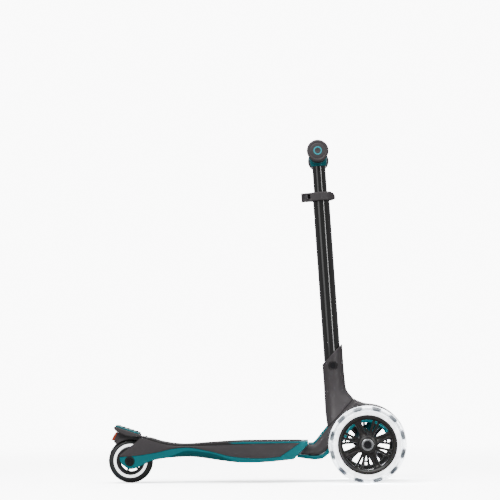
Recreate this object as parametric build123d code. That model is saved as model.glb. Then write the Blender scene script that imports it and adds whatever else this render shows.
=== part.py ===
from build123d import *
import os
from math import cos, radians, sin, sqrt

# Child's lean-to-steer kick scooter: two lighting wheels in front, one wheel behind, a deck that extends
# and a T-bar that slides. Millimetres, x forward, y to the left, z up. Shapes are drawn with the rear axle
# at x = 0 and the floor at z = 0, and are moved at the end so that the origin is on the floor midway
# between the ends of the wheels.

# ---- driving dimensions -------------------------------------------------------------------------------
# wheels
rear_wheel_dia = 85.0
rear_wheel_width = 24.0
rear_rim_dia = 53.4
rear_rim_wall = 6.3
front_wheel_dia = 145.0
front_wheel_width = 28.0
front_track = 212.0
front_rim_dia = 110.8
front_rim_wall = 7.2
light_ring_dia = 126.0
light_ring_width = 22.0
rim_width = 24.0
bearing_dia = 22.0
bearing_bore = 8.0
bearing_width = 7.0
hub_wall = 3.5
axle_dia = 7.9
bolt_head_dia = 14.0
bolt_head_height = 3.5

# lengths along the floor
deck_reach = 337.6
neck_reach = 111.9

# deck
deck_top = 78.6
deck_depth = 40.0
waist_depth = 28.8
waist_x = 108.0
mat_thickness = 3.0
mat_groove = 1.0
panel_thickness = 3.0
panel_gap = 0.8
tray_wall = 4.0
fork_half_width = 34.0
waist_half_width = 41.0
deck_half_width = 57.5
collar_half_width = 50.0
collar_slant = 26.3
wheel_side_gap = 3.0
wheel_rim_gap = 4.0
cover_thickness = 3.0

# extending neck
rail_width = 72.0
rail_height = 17.5
rail_wall = 2.5
rail_top = 68.5
rail_grip = 34.0
rail_tail = 188.0
extension = 80.0
guide_length = 20.0
slide_gap = 0.4
neck_half_width = 39.0
button_dia = 18.0
tongue_dia = 8.0

# hood and steering truck
hood_gap = 1.5
hood_half_width = 57.0
hood_wall = 3.0
arch_rise = 40.0
arch_band = 9.0
hood_front_angle = 14.0
kingpin_dia = 10.0
kingpin_offset = 14.0
kingpin_angle = 45.0
hanger_boss_dia = 26.0
hanger_boss_length = 18.0
hanger_beam_dia = 17.6
bushing_dia = 24.0
upper_bushing = 10.0
lower_bushing = 6.0

# stem
handle_height = 620.0
stem_lean = 3.44
stem_foot_drop = 16.5
stem_foot_back = 57.4
tube_foot_rise = 5.5
outer_tube_dia = 31.8
bush_wall = 1.7
tube_wall = 1.5
base_wall = 4.4
base_bolt_rise = 73.3
base_bolt_dia = 6.0
base_cut_rise = 42.2
tube_top_drop = 72.5
raise_travel = 200.0
snap_drop = 316.0
snap_dia = 7.0

# clamp
clamp_height = 17.3
clamp_drop = 69.1
clamp_wall = 6.4
clamp_slot = 2.5
lever_pivot_back = 27.5
lever_pivot_side = 16.5
lever_reach = 26.8

# handlebar
bar_half_width = 134.0
bar_tube_dia = 22.2
joint_dia = 37.0
joint_half_width = 35.0
grip_dia = 31.0
cap_dia = 41.0
cap_length = 8.0

# brake
brake_half_width = 29.0
skirt_half_width = 14.0
brake_gap = 3.6
hinge_x = 23.0
hinge_clearance = 5.4
hinge_pin_dia = 3.6
knuckle_dia = 8.0
pedal_rise = 23.5
pedal_back = 28.0
plate_thickness = 3.2

# fits
running_fit = 0.05
assembly_fit = 0.1
face_gap = 0.3

# ---- places worked out from them -----------------------------------------------------------------------
rear_radius = rear_wheel_dia / 2
hinge_rise = sqrt((rear_radius + hinge_clearance) ** 2 - hinge_x ** 2)
front_radius = front_wheel_dia / 2
wheelbase = deck_reach + neck_reach
centre_x = (wheelbase + front_radius - rear_radius) / 2
fork_gap = rear_wheel_width / 2 + wheel_side_gap
ramp_top = rear_radius + hinge_rise + 2.0
hinge_z = rear_radius + hinge_rise
rail_bottom = rail_top - rail_height
rail_start = deck_reach - rail_tail
rail_end = deck_reach + rail_grip
wheel_y = front_track / 2
outer_radius = outer_tube_dia / 2
inner_radius = outer_radius - tube_wall - bush_wall
base_radius = outer_radius + base_wall
hood_radius = front_radius + hood_gap
hood_top = front_radius + hood_radius
stem_foot_z = hood_top - stem_foot_drop
tube_foot_z = hood_top + tube_foot_rise
base_bolt_z = hood_top + base_bolt_rise
lean_sin = sin(radians(stem_lean))
lean_cos = cos(radians(stem_lean))
handle_x = wheelbase - stem_foot_back - (handle_height - stem_foot_z) * lean_sin / lean_cos
stem = Plane(origin=(handle_x, 0, handle_height), x_dir=(lean_cos, 0, lean_sin),
             z_dir=(-lean_sin, 0, lean_cos))
king_sin = sin(radians(kingpin_angle))
king_cos = cos(radians(kingpin_angle))
king_x = wheelbase - kingpin_offset * king_sin
king_z = front_radius + kingpin_offset * king_cos
kingpin = Plane(origin=(king_x, 0, king_z), x_dir=(0, 1, 0), z_dir=(king_cos, 0, king_sin))
arch_outer = arch_rise + arch_band
parts = {}


# ---- drawing aids --------------------------------------------------------------------------------------
def side_solid(face, low_y, high_y):
    """A face drawn in x and z, carried across from low_y to high_y."""
    return extrude(Plane.XZ.offset(-high_y) * face, amount=high_y - low_y)


def both_sides(face, low_y, high_y):
    """The same carried face on the left and on the right."""
    return side_solid(face, low_y, high_y) + side_solid(face, -high_y, -low_y)


def plan_solid(face, low_z, high_z):
    """A face drawn in x and y, carried up from low_z to high_z."""
    return extrude(Pos(0, 0, low_z) * face, amount=high_z - low_z)


def block(low_x, high_x, half_y, low_z, high_z):
    """A box that is centred across the scooter."""
    place = Pos((low_x + high_x) / 2, 0, (low_z + high_z) / 2)
    return place * Box(high_x - low_x, 2 * half_y, high_z - low_z)


def rod(x, z, radius, low_y, high_y):
    """A round rod across the scooter."""
    return side_solid(Pos(x, z) * Circle(radius), low_y, high_y)


def tube(x, z, outer, inner, low_y, high_y):
    """A round tube across the scooter."""
    return rod(x, z, outer, low_y, high_y) - rod(x, z, inner, low_y - 1, high_y + 1)


def pillar(plane, radius, low, high, x=0.0, y=0.0):
    """A round rod along a plane's own z axis."""
    return plane * Pos(x, y, (low + high) / 2) * Cylinder(radius, high - low)


def polygon(*points):
    """A closed face with straight edges."""
    return make_face(Polyline(*points, close=True))


def about_axle(radius, angle):
    """The point at a radius and an angle in degrees above the front, about the front axle."""
    return (wheelbase + radius * cos(radians(angle)), front_radius + radius * sin(radians(angle)))


# ---- deck ----------------------------------------------------------------------------------------------
flat_start = deck_reach - 121.6


def deck_top_edge(drop):
    """The deck's top from the brake hinge, down the ramp and along the foot area to the collar."""
    ramp = Spline((18, ramp_top - drop), (35, ramp_top - 0.6 - drop), (57, deck_top + 0.8 - drop),
                  (94, deck_top - 5 - drop), (145, deck_top - 3.2 - drop), (flat_start, deck_top - drop),
                  tangents=[(1, 0.1), (1, 0)])
    flat = Line((flat_start, deck_top - drop), (deck_reach, deck_top - drop))
    return [ramp, flat]


def colour_line(raise_by):
    """The line where the charcoal side panels end above the teal tray."""
    return Spline((-18.4, rear_radius + 7.2 + raise_by), (17.6, rear_radius + 10.3 + raise_by),
                  (51.6, deck_top - 20.4 + raise_by), (85.6, deck_top - 13.2 + raise_by),
                  (waist_x, deck_top - 11.5 + raise_by),
                  (deck_reach - 139, deck_top - 29.4 + raise_by),
                  (deck_reach - 108.8, deck_top - 32 + raise_by),
                  (deck_reach - 71, deck_top - 31.6 + raise_by),
                  (deck_reach - 51.5, deck_top - 29.5 + raise_by))


def bottom_edge(raise_by):
    """The underside from the fork's lobe round the axle to the foot of the collar."""
    return Spline((-19.2, rear_radius + 6), (-12.9, rear_radius - 7.4), (1, rear_radius - 15),
                  (18, rear_radius - 10.6), (40, deck_top - 36.4 + raise_by),
                  (60, deck_top - 31.9 + raise_by), (84, deck_top - 29.8 + raise_by),
                  (waist_x + 4, deck_top - waist_depth + raise_by),
                  (deck_reach - 166, deck_top - 35.7 + raise_by),
                  (deck_reach - 135, deck_top - 39.2 + raise_by),
                  (deck_reach - 105, deck_top - deck_depth + raise_by),
                  (deck_reach - 45, deck_top - 36.2 + raise_by),
                  (deck_reach - collar_slant, deck_top - 34.4 + raise_by))


def deck_plan(inset):
    """The deck from above, drawn in by inset: narrow at the fork and the waist, wide under the foot."""
    points = [(20, fork_half_width), (74, waist_half_width - 4), (waist_x, waist_half_width),
              (deck_reach - 138, deck_half_width - 2.5), (deck_reach - 90, deck_half_width),
              (deck_reach - 45, deck_half_width - 1.5), (deck_reach, collar_half_width)]
    left = Spline(*[(x, y - inset) for x, y in points], tangents=[(1, 0), (1, -0.2)])
    right = Spline(*[(x, inset - y) for x, y in points], tangents=[(1, 0), (1, 0.2)])
    half = fork_half_width - inset
    tail = Polyline((20, half), (-60, half), (-60, -half), (20, -half))
    nose = Line((deck_reach, collar_half_width - inset), (deck_reach, inset - collar_half_width))
    return make_face([left, right, nose] + tail.edges())


def deck_prism(inset):
    """The deck's plan carried up through its whole height."""
    return plan_solid(deck_plan(inset), 0, ramp_top + 30)


def wheel_slot():
    """The room in the fork for the rear wheel and the brake's knuckle."""
    round_room = rod(0, rear_radius, rear_radius + wheel_rim_gap, -fork_gap, fork_gap)
    behind = block(-60, 0, fork_gap, -10, ramp_top + 20)
    above = block(-60, hinge_x + knuckle_dia / 2 + 1, fork_gap, rear_radius + 20, ramp_top + 20)
    return round_room + behind + above


def make_deck_tray():
    """Moulded tray with the fork: the lower band and collar come out flush with the side panels."""
    fork_line = Polyline((19, ramp_top - mat_thickness), (-16, rear_radius + 12), (-19.2, rear_radius + 6))
    front_line = Polyline((deck_reach - collar_slant, deck_top - 34.4), (deck_reach, deck_top - 7.4),
                          (deck_reach, deck_top - mat_thickness))
    top = deck_top_edge(mat_thickness)
    top_start = Line(top[0] @ 0, (19, ramp_top - mat_thickness))
    whole = make_face([bottom_edge(0)] + front_line.edges() + top + [top_start] + fork_line.edges())
    inner = side_solid(whole, -70, 70) & deck_prism(panel_thickness)
    line = colour_line(0)
    collar_line = Polyline(line @ 1, (deck_reach - 12.5, deck_top - 3.4), (deck_reach - 12.5, deck_top - 0.8),
                           (deck_reach, deck_top - 0.8), (deck_reach, deck_top - 7.4),
                           (deck_reach - collar_slant, deck_top - 34.4))
    tail_line = Line((-19.2, rear_radius + 6), line @ 0)
    band = make_face([bottom_edge(0), line, tail_line] + collar_line.edges())
    lip = polygon((deck_reach - 150, deck_top - 4.4), (deck_reach, deck_top - 3.4),
                  (deck_reach, deck_top - 0.8), (flat_start, deck_top - 0.8), (deck_reach - 150, deck_top - 1.4))
    flush = side_solid(band, -70, 70) & deck_prism(0)
    rim = (side_solid(lip, -70, 70) & deck_prism(0)) - deck_prism(panel_thickness)
    front_hollow = block(rail_start - 4, deck_reach - 40, 70, 0, deck_top - mat_thickness - tray_wall)
    front_hollow = front_hollow & deck_prism(panel_thickness + tray_wall)
    rear_hollow = block(62, rail_start - 12, waist_half_width - 14, 0, deck_top - 15)
    channel = block(rail_start - 4, deck_reach + 1, rail_width / 2 + slide_gap,
                    rail_bottom - slide_gap, rail_top + slide_gap)
    tray = inner + flush + rim - wheel_slot() - front_hollow - rear_hollow - channel
    for y in (rail_width / 2 + 5, -rail_width / 2 - 5):
        boss = pillar(Plane.XY, 4.6, deck_top - deck_depth + 8, deck_top - mat_thickness - tray_wall,
                      rail_start + 30, y)
        tray = tray + boss
    tray = tray - screw_shanks(assembly_fit)
    tray = tray - rod(0, rear_radius, axle_dia / 2 + assembly_fit, -60, 60)
    return tray - rod(hinge_x, hinge_z, hinge_pin_dia / 2 + assembly_fit, -60, 60)


def make_side_panel(side):
    """Charcoal panel clipped on one side of the tray, from the fork to the collar."""
    line = colour_line(panel_gap)
    top = deck_top_edge(0.6)
    split_x = deck_reach - 150
    outline = Polyline(line @ 1, (deck_reach - 14, deck_top - 4.6), (deck_reach, deck_top - 3.6),
                       (deck_reach, deck_top + 40), (-60, deck_top + 40), (-60, rear_radius + 8), line @ 0)
    over_line = side_solid(make_face([line] + outline.edges()), -70, 70)
    front_cut = polygon((deck_reach - 50.5, deck_top - 40), (deck_reach - 50.5, deck_top - 29),
                        (deck_reach - 13.8, deck_top - 3.4), (deck_reach + 9, deck_top - 3.4),
                        (deck_reach + 9, deck_top - 40))
    ends = Polyline(top[1] @ 1, (deck_reach, 0), (-18.2, 0), (-18.2, rear_radius + 11.5), (20.5, ramp_top - 0.8),
                    top[0] @ 0)
    under_top = side_solid(make_face(top + ends.edges()), -70, 70)
    lip_room = side_solid(polygon((split_x, deck_top - 4.6), (deck_reach + 2, deck_top - 3.6),
                                  (deck_reach + 2, deck_top + 9), (split_x, deck_top + 9)), -70, 70)
    skin = deck_prism(0) - deck_prism(panel_thickness)
    panel = (over_line & under_top & skin) - side_solid(front_cut, -70, 70) - lip_room
    half = Pos(deck_reach / 2, side * 50, 60) * Box(2 * deck_reach, 100, 300)
    panel = panel & half
    return panel - rod(0, rear_radius, axle_dia / 2 + assembly_fit, -60, 60)


def make_deck_mat():
    """Soft grooved mat glued on the tray's top."""
    top = deck_top_edge(0)
    under = deck_top_edge(mat_thickness)
    back = Line(top[0] @ 0, under[0] @ 0)
    front = Line(top[1] @ 1, under[1] @ 1)
    strip = make_face(top + under + [back, front])
    mat = side_solid(strip, -70, 70) & deck_prism(panel_thickness + face_gap)
    mat = mat - wheel_slot() - block(-60, hinge_x + knuckle_dia / 2 + 1, 70, 0, 200)
    mat = mat - block(deck_reach - 12.8, deck_reach + 10, 70, 0, 200)
    for row in range(-3, 4):
        groove = Pos((flat_start + deck_reach) / 2 - 4, row * 12, deck_top)
        mat = mat - groove * Box(deck_reach - flat_start - 24, 2.4, 2 * mat_groove)
    return mat


rear_guide = rail_start + extension + 6
front_guide = deck_reach - 40 - guide_length


def make_underside_cover():
    """Plate that closes the hollow under the deck, screwed to the tray's walls."""
    start = rail_start + 6
    floor = deck_top - deck_depth + 1.5
    plate = polygon((start, floor + 3), (start + 40, floor), (deck_reach - 95, floor),
                    (deck_reach - 42, floor + 3), (deck_reach - 42, floor + 3 + cover_thickness),
                    (deck_reach - 95, floor + cover_thickness), (start + 40, floor + cover_thickness),
                    (start, floor + 3 + cover_thickness))
    cover = side_solid(plate, -70, 70) & deck_prism(panel_thickness + tray_wall + face_gap)
    button_hole = pillar(Plane.XY, button_dia / 2 + face_gap, 0, deck_top, x=button_x)
    return cover - button_hole - screw_shanks(assembly_fit)


def screw_places():
    """Where the underside screws go, in two rows of three."""
    xs = [rail_start + 30, rear_guide + guide_length / 2, front_guide + guide_length / 2]
    ys = [rail_width / 2 + 5, -rail_width / 2 - 5]
    return [(x, y) for x in xs for y in ys]


def screw_shanks(fit):
    """The shanks of the underside screws, made larger by fit to cut their holes."""
    shanks = [pillar(Plane.XY, 2 + fit, 0, deck_top - 12, x, y) for x, y in screw_places()]
    return shanks[0] + shanks[1:]


def make_underside_screws():
    """Six self-tapping screws with pan heads, up into the guide blocks."""
    screws = []
    floor = deck_top - deck_depth + 1.0
    for x, y in screw_places():
        shank = pillar(Plane.XY, 2, floor, floor + 16, x, y)
        head = pillar(Plane.XY, 3.8, floor - 1.6, floor + 0.4, x, y)
        socket = plan_solid(Pos(x, y) * RegularPolygon(1.5, 6), floor - 3, floor - 0.6)
        screws.append(shank + head - socket)
    return screws


def make_guide_blocks():
    """Two nylon blocks inside the tray that the slide rail runs through."""
    blocks = []
    for start in (rear_guide, front_guide):
        body = block(start, start + guide_length, rail_width / 2 + 9, deck_top - deck_depth + 8,
                     deck_top - mat_thickness - tray_wall)
        channel = block(start - 1, start + guide_length + 1, rail_width / 2 + slide_gap,
                        rail_bottom - slide_gap, rail_top + slide_gap)
        blocks.append(body - channel - screw_shanks(assembly_fit))
    return blocks


button_x = (rear_guide + front_guide + guide_length) / 2
button_floor = deck_top - deck_depth - 0.5


def make_extension_button():
    """Round push button under the deck whose tongue runs in the rail's slot."""
    cap = pillar(Plane.XY, button_dia / 2, button_floor, button_floor + 6, x=button_x)
    cap = chamfer(cap.faces().sort_by(Axis.Z)[0].edges(), 1)
    collar = pillar(Plane.XY, button_dia / 2 - 4, button_floor + 5, button_floor + 8, x=button_x)
    tongue = pillar(Plane.XY, tongue_dia / 2, button_floor + 5, rail_bottom + 3, x=button_x)
    return cap + collar + tongue


def make_button_spring():
    """Wave spring between the button and the rail's keeper plate."""
    low = button_floor + 6.3
    rings = []
    for turn in range(3):
        ring = pillar(Plane.XY, 8.0, low + 1.3 * turn, low + 1.3 * turn + 1.3, x=button_x)
        rings.append(ring - pillar(Plane.XY, 6.0, low - 1, low + 9, x=button_x))
    return rings[0] + rings[1:]


def make_rear_axle_bolt():
    """Shoulder bolt through the fork with a hexagon socket in its head."""
    half = fork_half_width
    shank = rod(0, rear_radius, axle_dia / 2, -half - 0.2, half + 3)
    head = rod(0, rear_radius, 6.8, -half - bolt_head_height, -half - 0.2)
    socket = side_solid(Pos(0, rear_radius) * RegularPolygon(2.9, 6), -half - 5, -half - 1.2)
    return shank + head - socket


def make_rear_axle_nut():
    """Cap nut on the far end of the rear axle bolt."""
    half = fork_half_width
    nut = side_solid(Pos(0, rear_radius) * RegularPolygon(7.2, 6), half + 0.2, half + 6)
    return nut - rod(0, rear_radius, axle_dia / 2, half - 1, half + 3)


def make_rear_spacers():
    """Two outer washers and the sleeve between the bearings, on the rear axle bolt."""
    hub_half = rear_wheel_width / 2
    outer = tube(0, rear_radius, 6.2, axle_dia / 2 + running_fit, hub_half + face_gap, fork_gap - 0.05)
    inner_half = hub_half - bearing_width - face_gap
    sleeve = tube(0, rear_radius, 6.0, axle_dia / 2 + running_fit, -inner_half, inner_half)
    return [outer, mirror(outer, about=Plane.XZ), sleeve]


def make_hinge_pin():
    """Steel pin across the fork that the brake turns on."""
    return rod(hinge_x, hinge_z, hinge_pin_dia / 2, -fork_half_width + 4, fork_half_width - 4)


def make_brake_spring():
    """Torsion spring wound round the hinge pin."""
    coils = []
    for turn in range(4):
        start = -4.0 + 2.0 * turn
        coils.append(tube(hinge_x, hinge_z, 3.6, 2.4, start, start + 1.9))
    return coils


# ---- brake ---------------------------------------------------------------------------------------------
pedal_slope = pedal_rise / (pedal_back + hinge_x)


def pedal_top(x, drop):
    """A point on the pedal's sloping top at x, lowered by drop."""
    return (x, hinge_z + 6.3 + (hinge_x - x) * pedal_slope * 0.72 - drop)


def make_brake_pedal():
    """Charcoal pedal: a wide foot plate, a skirt over the tyre and the hinge knuckle."""
    skin = plate_thickness
    wide = polygon(pedal_top(-pedal_back - 3, 0), pedal_top(-pedal_back + 1, skin), pedal_top(hinge_x - 4, skin),
                   (hinge_x - 1, hinge_z + 4), (hinge_x - 8, hinge_z + 1.5), (0, hinge_z + 5),
                   (-10, hinge_z + 6.2), (-26, hinge_z + 16), (-pedal_back - 4, hinge_z + 20))
    foot = side_solid(wide, -brake_half_width, brake_half_width)
    skirt_face = polygon((-27, hinge_z + 17), (-28.5, hinge_z + 7), (-35.3, hinge_z - 4.3), (-31.5, hinge_z - 8.2),
                         (-20, hinge_z - 14), (hinge_x - 6, hinge_z - 8), (hinge_x - 2, hinge_z + 3),
                         (0, hinge_z + 8))
    skirt = side_solid(skirt_face, -skirt_half_width, skirt_half_width)
    knuckle = rod(hinge_x, hinge_z, knuckle_dia / 2, -skirt_half_width, skirt_half_width)
    arm = side_solid(polygon((hinge_x - 8, hinge_z - 2), (hinge_x - 8, hinge_z + 5), (hinge_x, hinge_z + 4),
                             (hinge_x, hinge_z)), -skirt_half_width, skirt_half_width)
    over_tyre = (skirt + arm) - rod(0, rear_radius, rear_radius + brake_gap, -60, 60)
    pedal = foot + over_tyre + knuckle
    spring_room = rod(hinge_x, hinge_z, 6.5, -4.6, 4.6)
    pin_hole = rod(hinge_x, hinge_z, hinge_pin_dia / 2 + running_fit, -60, 60)
    return pedal - spring_room - pin_hole - reflector_shape(assembly_fit) - friction_shape(assembly_fit)


def reflector_shape(fit):
    """The reflector in the brake's tail, made larger by fit to cut its seat."""
    lens = polygon((-26.2 + fit, hinge_z + 9.5 + fit), (-29.6, hinge_z + 8.2), (-35.4, hinge_z - 2.6),
                   (-32.0 + fit, hinge_z - 5.4 - fit))
    return side_solid(lens, -skirt_half_width + 3 - fit, skirt_half_width - 3 + fit)


def friction_shape(fit):
    """Curved steel plate under the pedal that rubs the tyre, made larger by fit for its seat."""
    radius = rear_radius + brake_gap
    ring = rod(0, rear_radius, radius + 1.2 + fit, -9 - fit, 9 + fit) - rod(0, rear_radius, radius - 0.3, -10, 10)
    window = side_solid(polygon((-16, hinge_z - 10), (-16, hinge_z + 20), (8, hinge_z + 20), (8, hinge_z - 10)),
                        -10, 10)
    return ring & window


def make_brake_plate():
    """Teal foot plate on top of the pedal."""
    face = polygon(pedal_top(-pedal_back + 1, 0), pedal_top(hinge_x - 5.5, 0),
                   pedal_top(hinge_x - 5.5, plate_thickness), pedal_top(-pedal_back + 1, plate_thickness))
    return side_solid(face, -brake_half_width + 1.5, brake_half_width - 1.5)


def make_brake_ribs():
    """Rubber ribs set across the foot plate."""
    ribs = []
    for x in (-19.5, -10.5, -1.5, 7.5):
        face = polygon(pedal_top(x - 1.6, 0), pedal_top(x - 1.0, -1.4), pedal_top(x + 1.0, -1.4),
                       pedal_top(x + 1.6, 0))
        ribs.append(side_solid(face, -brake_half_width + 5, brake_half_width - 5))
    return ribs


# ---- rear wheel ----------------------------------------------------------------------------------------
def wheel_spokes(hub, ring, width, depth, count, turn):
    """Straight radial spokes about the y axis through the origin."""
    spokes = []
    for index in range(count):
        angle = turn + 360 * index / count
        spoke = Rot(0, -angle, 0) * Pos((hub + ring) / 2, 0, 0) * Box(ring - hub + 2, depth, width)
        spokes.append(spoke)
    return spokes


def make_bearing_pair(x, z, y, hub_half):
    """Two ball bearings seated in the two ends of a hub."""
    pair = []
    for low in (y - hub_half, y + hub_half - bearing_width):
        ring = tube(x, z, bearing_dia / 2, bearing_bore / 2, low, low + bearing_width)
        for face_y, depth in ((low, 1), (low + bearing_width, -1)):
            groove = tube(x, z, bearing_dia / 2 - 2, bearing_bore / 2 + 2, min(face_y, face_y + depth * 0.6),
                          max(face_y, face_y + depth * 0.6))
            ring = ring - groove
        pair.append(ring)
    return pair


def make_rim(x, z, y, outer, wall, half, hub_half, spokes):
    """A moulded rim: hub with two bearing seats, spokes and the outer ring."""
    hub_radius = bearing_dia / 2 + hub_wall
    place = Pos(x, y, z)
    hub = rod(x, z, hub_radius, y - hub_half, y + hub_half)
    ring = tube(x, z, outer, outer - wall, y - half, y + half)
    rim = hub + ring + [place * spoke for spoke in spokes]
    rim = rim - rod(x, z, bearing_dia / 2 - 2.5, y - hub_half - 1, y + hub_half + 1)
    rim = rim - rod(x, z, bearing_dia / 2, y - hub_half - 1, y - hub_half + bearing_width)
    return rim - rod(x, z, bearing_dia / 2, y + hub_half - bearing_width, y + hub_half + 1)


def make_tyre(x, z, y, outer, inner, half, crown):
    """A tyre with a rounded tread, turned about the axle."""
    profile = make_face([Line((inner, -half + 1), (inner, half - 1)), Line((inner, half - 1), (outer - crown, half)),
                         ThreePointArc((outer - crown, half), (outer, 0), (outer - crown, -half)),
                         Line((outer - crown, -half), (inner, -half + 1))])
    return Pos(x, y, z) * revolve(profile, Axis.Y)


def make_rear_wheel():
    """Rim, tyre and bearings of the rear wheel."""
    half = rear_wheel_width / 2
    outer = rear_rim_dia / 2
    spokes = wheel_spokes(bearing_dia / 2 + 1, outer - rear_rim_wall, 3.4, 2 * half - 6, 6, 12)
    parts["rear_rim"] = make_rim(0, rear_radius, 0, outer, rear_rim_wall, half - 1.5, half, spokes)
    parts["rear_tyre"] = make_tyre(0, rear_radius, 0, rear_radius, outer, half, 6)
    parts["rear_bearings"] = make_bearing_pair(0, rear_radius, 0, half)


# ---- front wheels --------------------------------------------------------------------------------------
def front_spokes():
    """Four broad spokes and, between them, four pairs of thin ribs."""
    hub = bearing_dia / 2 + 1
    ring = front_rim_dia / 2 - front_rim_wall
    broad = wheel_spokes(hub, ring, 9, 15, 4, 24)
    ribs = []
    for index in range(4):
        angle = 72 + 90 * index
        for shift in (-3.5, 3.5):
            rib = Rot(0, -angle, 0) * Pos((hub + ring) / 2, 0, shift) * Box(ring - hub + 2, 11, 2.6)
            ribs.append(rib)
    return broad + ribs


def make_front_wheel(side, name):
    """Rim, light ring, tyre, bearings and magnet spacer of one front wheel."""
    y = side * wheel_y
    outer = front_rim_dia / 2
    hub_half = rim_width / 2
    rim = make_rim(wheelbase, front_radius, y, outer, front_rim_wall, rim_width / 2, hub_half, front_spokes())
    parts["front_rim_" + name] = rim
    parts["light_ring_" + name] = tube(wheelbase, front_radius, light_ring_dia / 2, outer,
                                       y - light_ring_width / 2, y + light_ring_width / 2)
    parts["front_tyre_" + name] = make_tyre(wheelbase, front_radius, y, front_radius, light_ring_dia / 2,
                                            front_wheel_width / 2, 5)
    parts["front_bearings_" + name] = make_bearing_pair(wheelbase, front_radius, y, hub_half)


# ---- steering truck ------------------------------------------------------------------------------------
def beam_end():
    """How far out the hanger reaches, short of the wheel's inner bearing."""
    return wheel_y - rim_width / 2 - face_gap


def make_hanger():
    """Cast beam along the front axle with the boss that turns on the kingpin."""
    end = beam_end()
    beam = rod(wheelbase, front_radius, hanger_beam_dia / 2, -end + 26, end - 26)
    tips = rod(wheelbase, front_radius, 7, -end, end)
    boss = pillar(kingpin, hanger_boss_dia / 2, -hanger_boss_length / 2, hanger_boss_length / 2)
    web = Pos(king_x, 0, king_z) * Rot(0, kingpin_angle, 0) * Pos(kingpin_offset / 2, 0, 0)
    web = web * Box(kingpin_offset, hanger_boss_dia, hanger_boss_length)
    hole = pillar(kingpin, kingpin_dia / 2 + running_fit, -60, 60)
    bolt_hole = both_sides(Pos(wheelbase, front_radius) * Circle(axle_dia / 2 + running_fit), end - 34, end + 1)
    return beam + tips + boss + web - hole - bolt_hole


def make_steering_bushings():
    """Two elastomer bushings on the kingpin that bring the steering back to the middle."""
    boss_half = hanger_boss_length / 2
    hole = pillar(kingpin, kingpin_dia / 2 + assembly_fit, -60, 60)
    upper = pillar(kingpin, bushing_dia / 2, boss_half + face_gap, boss_half + upper_bushing)
    lower = pillar(kingpin, bushing_dia / 2 - 2, -boss_half - lower_bushing, -boss_half - face_gap)
    return [upper - hole, lower - hole]


def kingpin_top():
    """Distance along the kingpin to the crown of the arch."""
    return sqrt(arch_outer ** 2 - kingpin_offset ** 2)


def make_kingpin():
    """Shouldered bolt down through the arch, the bushings and the hanger."""
    low = -hanger_boss_length / 2 - lower_bushing - 5
    shank = pillar(kingpin, kingpin_dia / 2, low, kingpin_top() + 4)
    head = pillar(kingpin, 8, kingpin_top() + 3.5, kingpin_top() + 9)
    return shank + head


def make_kingpin_nut():
    """Lock nut under the lower bushing."""
    high = -hanger_boss_length / 2 - lower_bushing - 0.1
    nut = kingpin * Pos(0, 0, high - 5) * extrude(RegularPolygon(9, 6), amount=5)
    return nut - pillar(kingpin, kingpin_dia / 2, -60, 60)


def make_wheel_bolts():
    """The two front axle bolts, one in each end of the hanger."""
    end = beam_end()
    outside = wheel_y + rim_width / 2 + face_gap
    shank = rod(wheelbase, front_radius, axle_dia / 2, -outside, -end + 30)
    head = rod(wheelbase, front_radius, bolt_head_dia / 2, -outside - bolt_head_height, -outside)
    socket = side_solid(Pos(wheelbase, front_radius) * RegularPolygon(3.2, 6), -outside - 5, -outside - 1)
    bolt = shank + head - socket
    return [bolt, mirror(bolt, about=Plane.XZ)]


def make_magnet_spacers():
    """Magnet sleeves between the bearings, which light the wheels as they turn."""
    half = rim_width / 2 - bearing_width - face_gap
    sleeve = tube(wheelbase, front_radius, 7.5, axle_dia / 2 + running_fit, wheel_y - half, wheel_y + half)
    return [sleeve, mirror(sleeve, about=Plane.XZ)]


# ---- neck and hood -------------------------------------------------------------------------------------
seam_low = (wheelbase - 74.6, hood_top - 44.4)
seam_high = (wheelbase - 24.3, hood_top + 10.2)
neck_face = 1.2


def front_plan(inset):
    """The neck and the hood from above, drawn in by inset."""
    start = deck_reach - 60
    points = [(deck_reach + 28, neck_half_width), (wheelbase - 62, neck_half_width + 6),
              (wheelbase - 40, hood_half_width - 3), (wheelbase - 15, hood_half_width),
              (wheelbase + 40, hood_half_width), (wheelbase + hood_radius + 4, hood_half_width - 5)]
    left = Spline(*[(x, y - inset) for x, y in points], tangents=[(1, 0), (1, -0.3)])
    right = Spline(*[(x, inset - y) for x, y in points], tangents=[(1, 0), (1, 0.3)])
    first = points[0]
    last = points[-1]
    tail = Polyline((first[0], first[1] - inset), (start, first[1] - inset), (start, inset - first[1]),
                    (first[0], inset - first[1]))
    nose = Line((last[0], last[1] - inset), (last[0], inset - last[1]))
    return make_face([left, right, nose] + tail.edges())


def front_prism(inset):
    """The front plan carried up through the whole height of the hood."""
    return plan_solid(front_plan(inset), 0, front_radius + 160)


def arch(radius, start, finish):
    """An arc about the front axle from one angle to another."""
    middle = (start + finish) / 2
    return ThreePointArc(about_axle(radius, start), about_axle(radius, middle), about_axle(radius, finish))


def neck_floor(raise_by, radius):
    """The neck's underside, raised, and then the arch over the truck at a radius."""
    back = (deck_reach - 22 + raise_by + neck_face, deck_top - 30.7 + raise_by)
    neck = Spline(back, (deck_reach + 15, deck_top - 34.6 + raise_by * 1.4),
                  (deck_reach + 26, deck_top - 33.4 + raise_by * 1.4),
                  (wheelbase - 70, front_radius - 16.5 + raise_by), about_axle(radius, 172),
                  tangents=[(1, -0.1), (0.25, 1)])
    return [neck, arch(radius, 172, hood_front_angle)]


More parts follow.
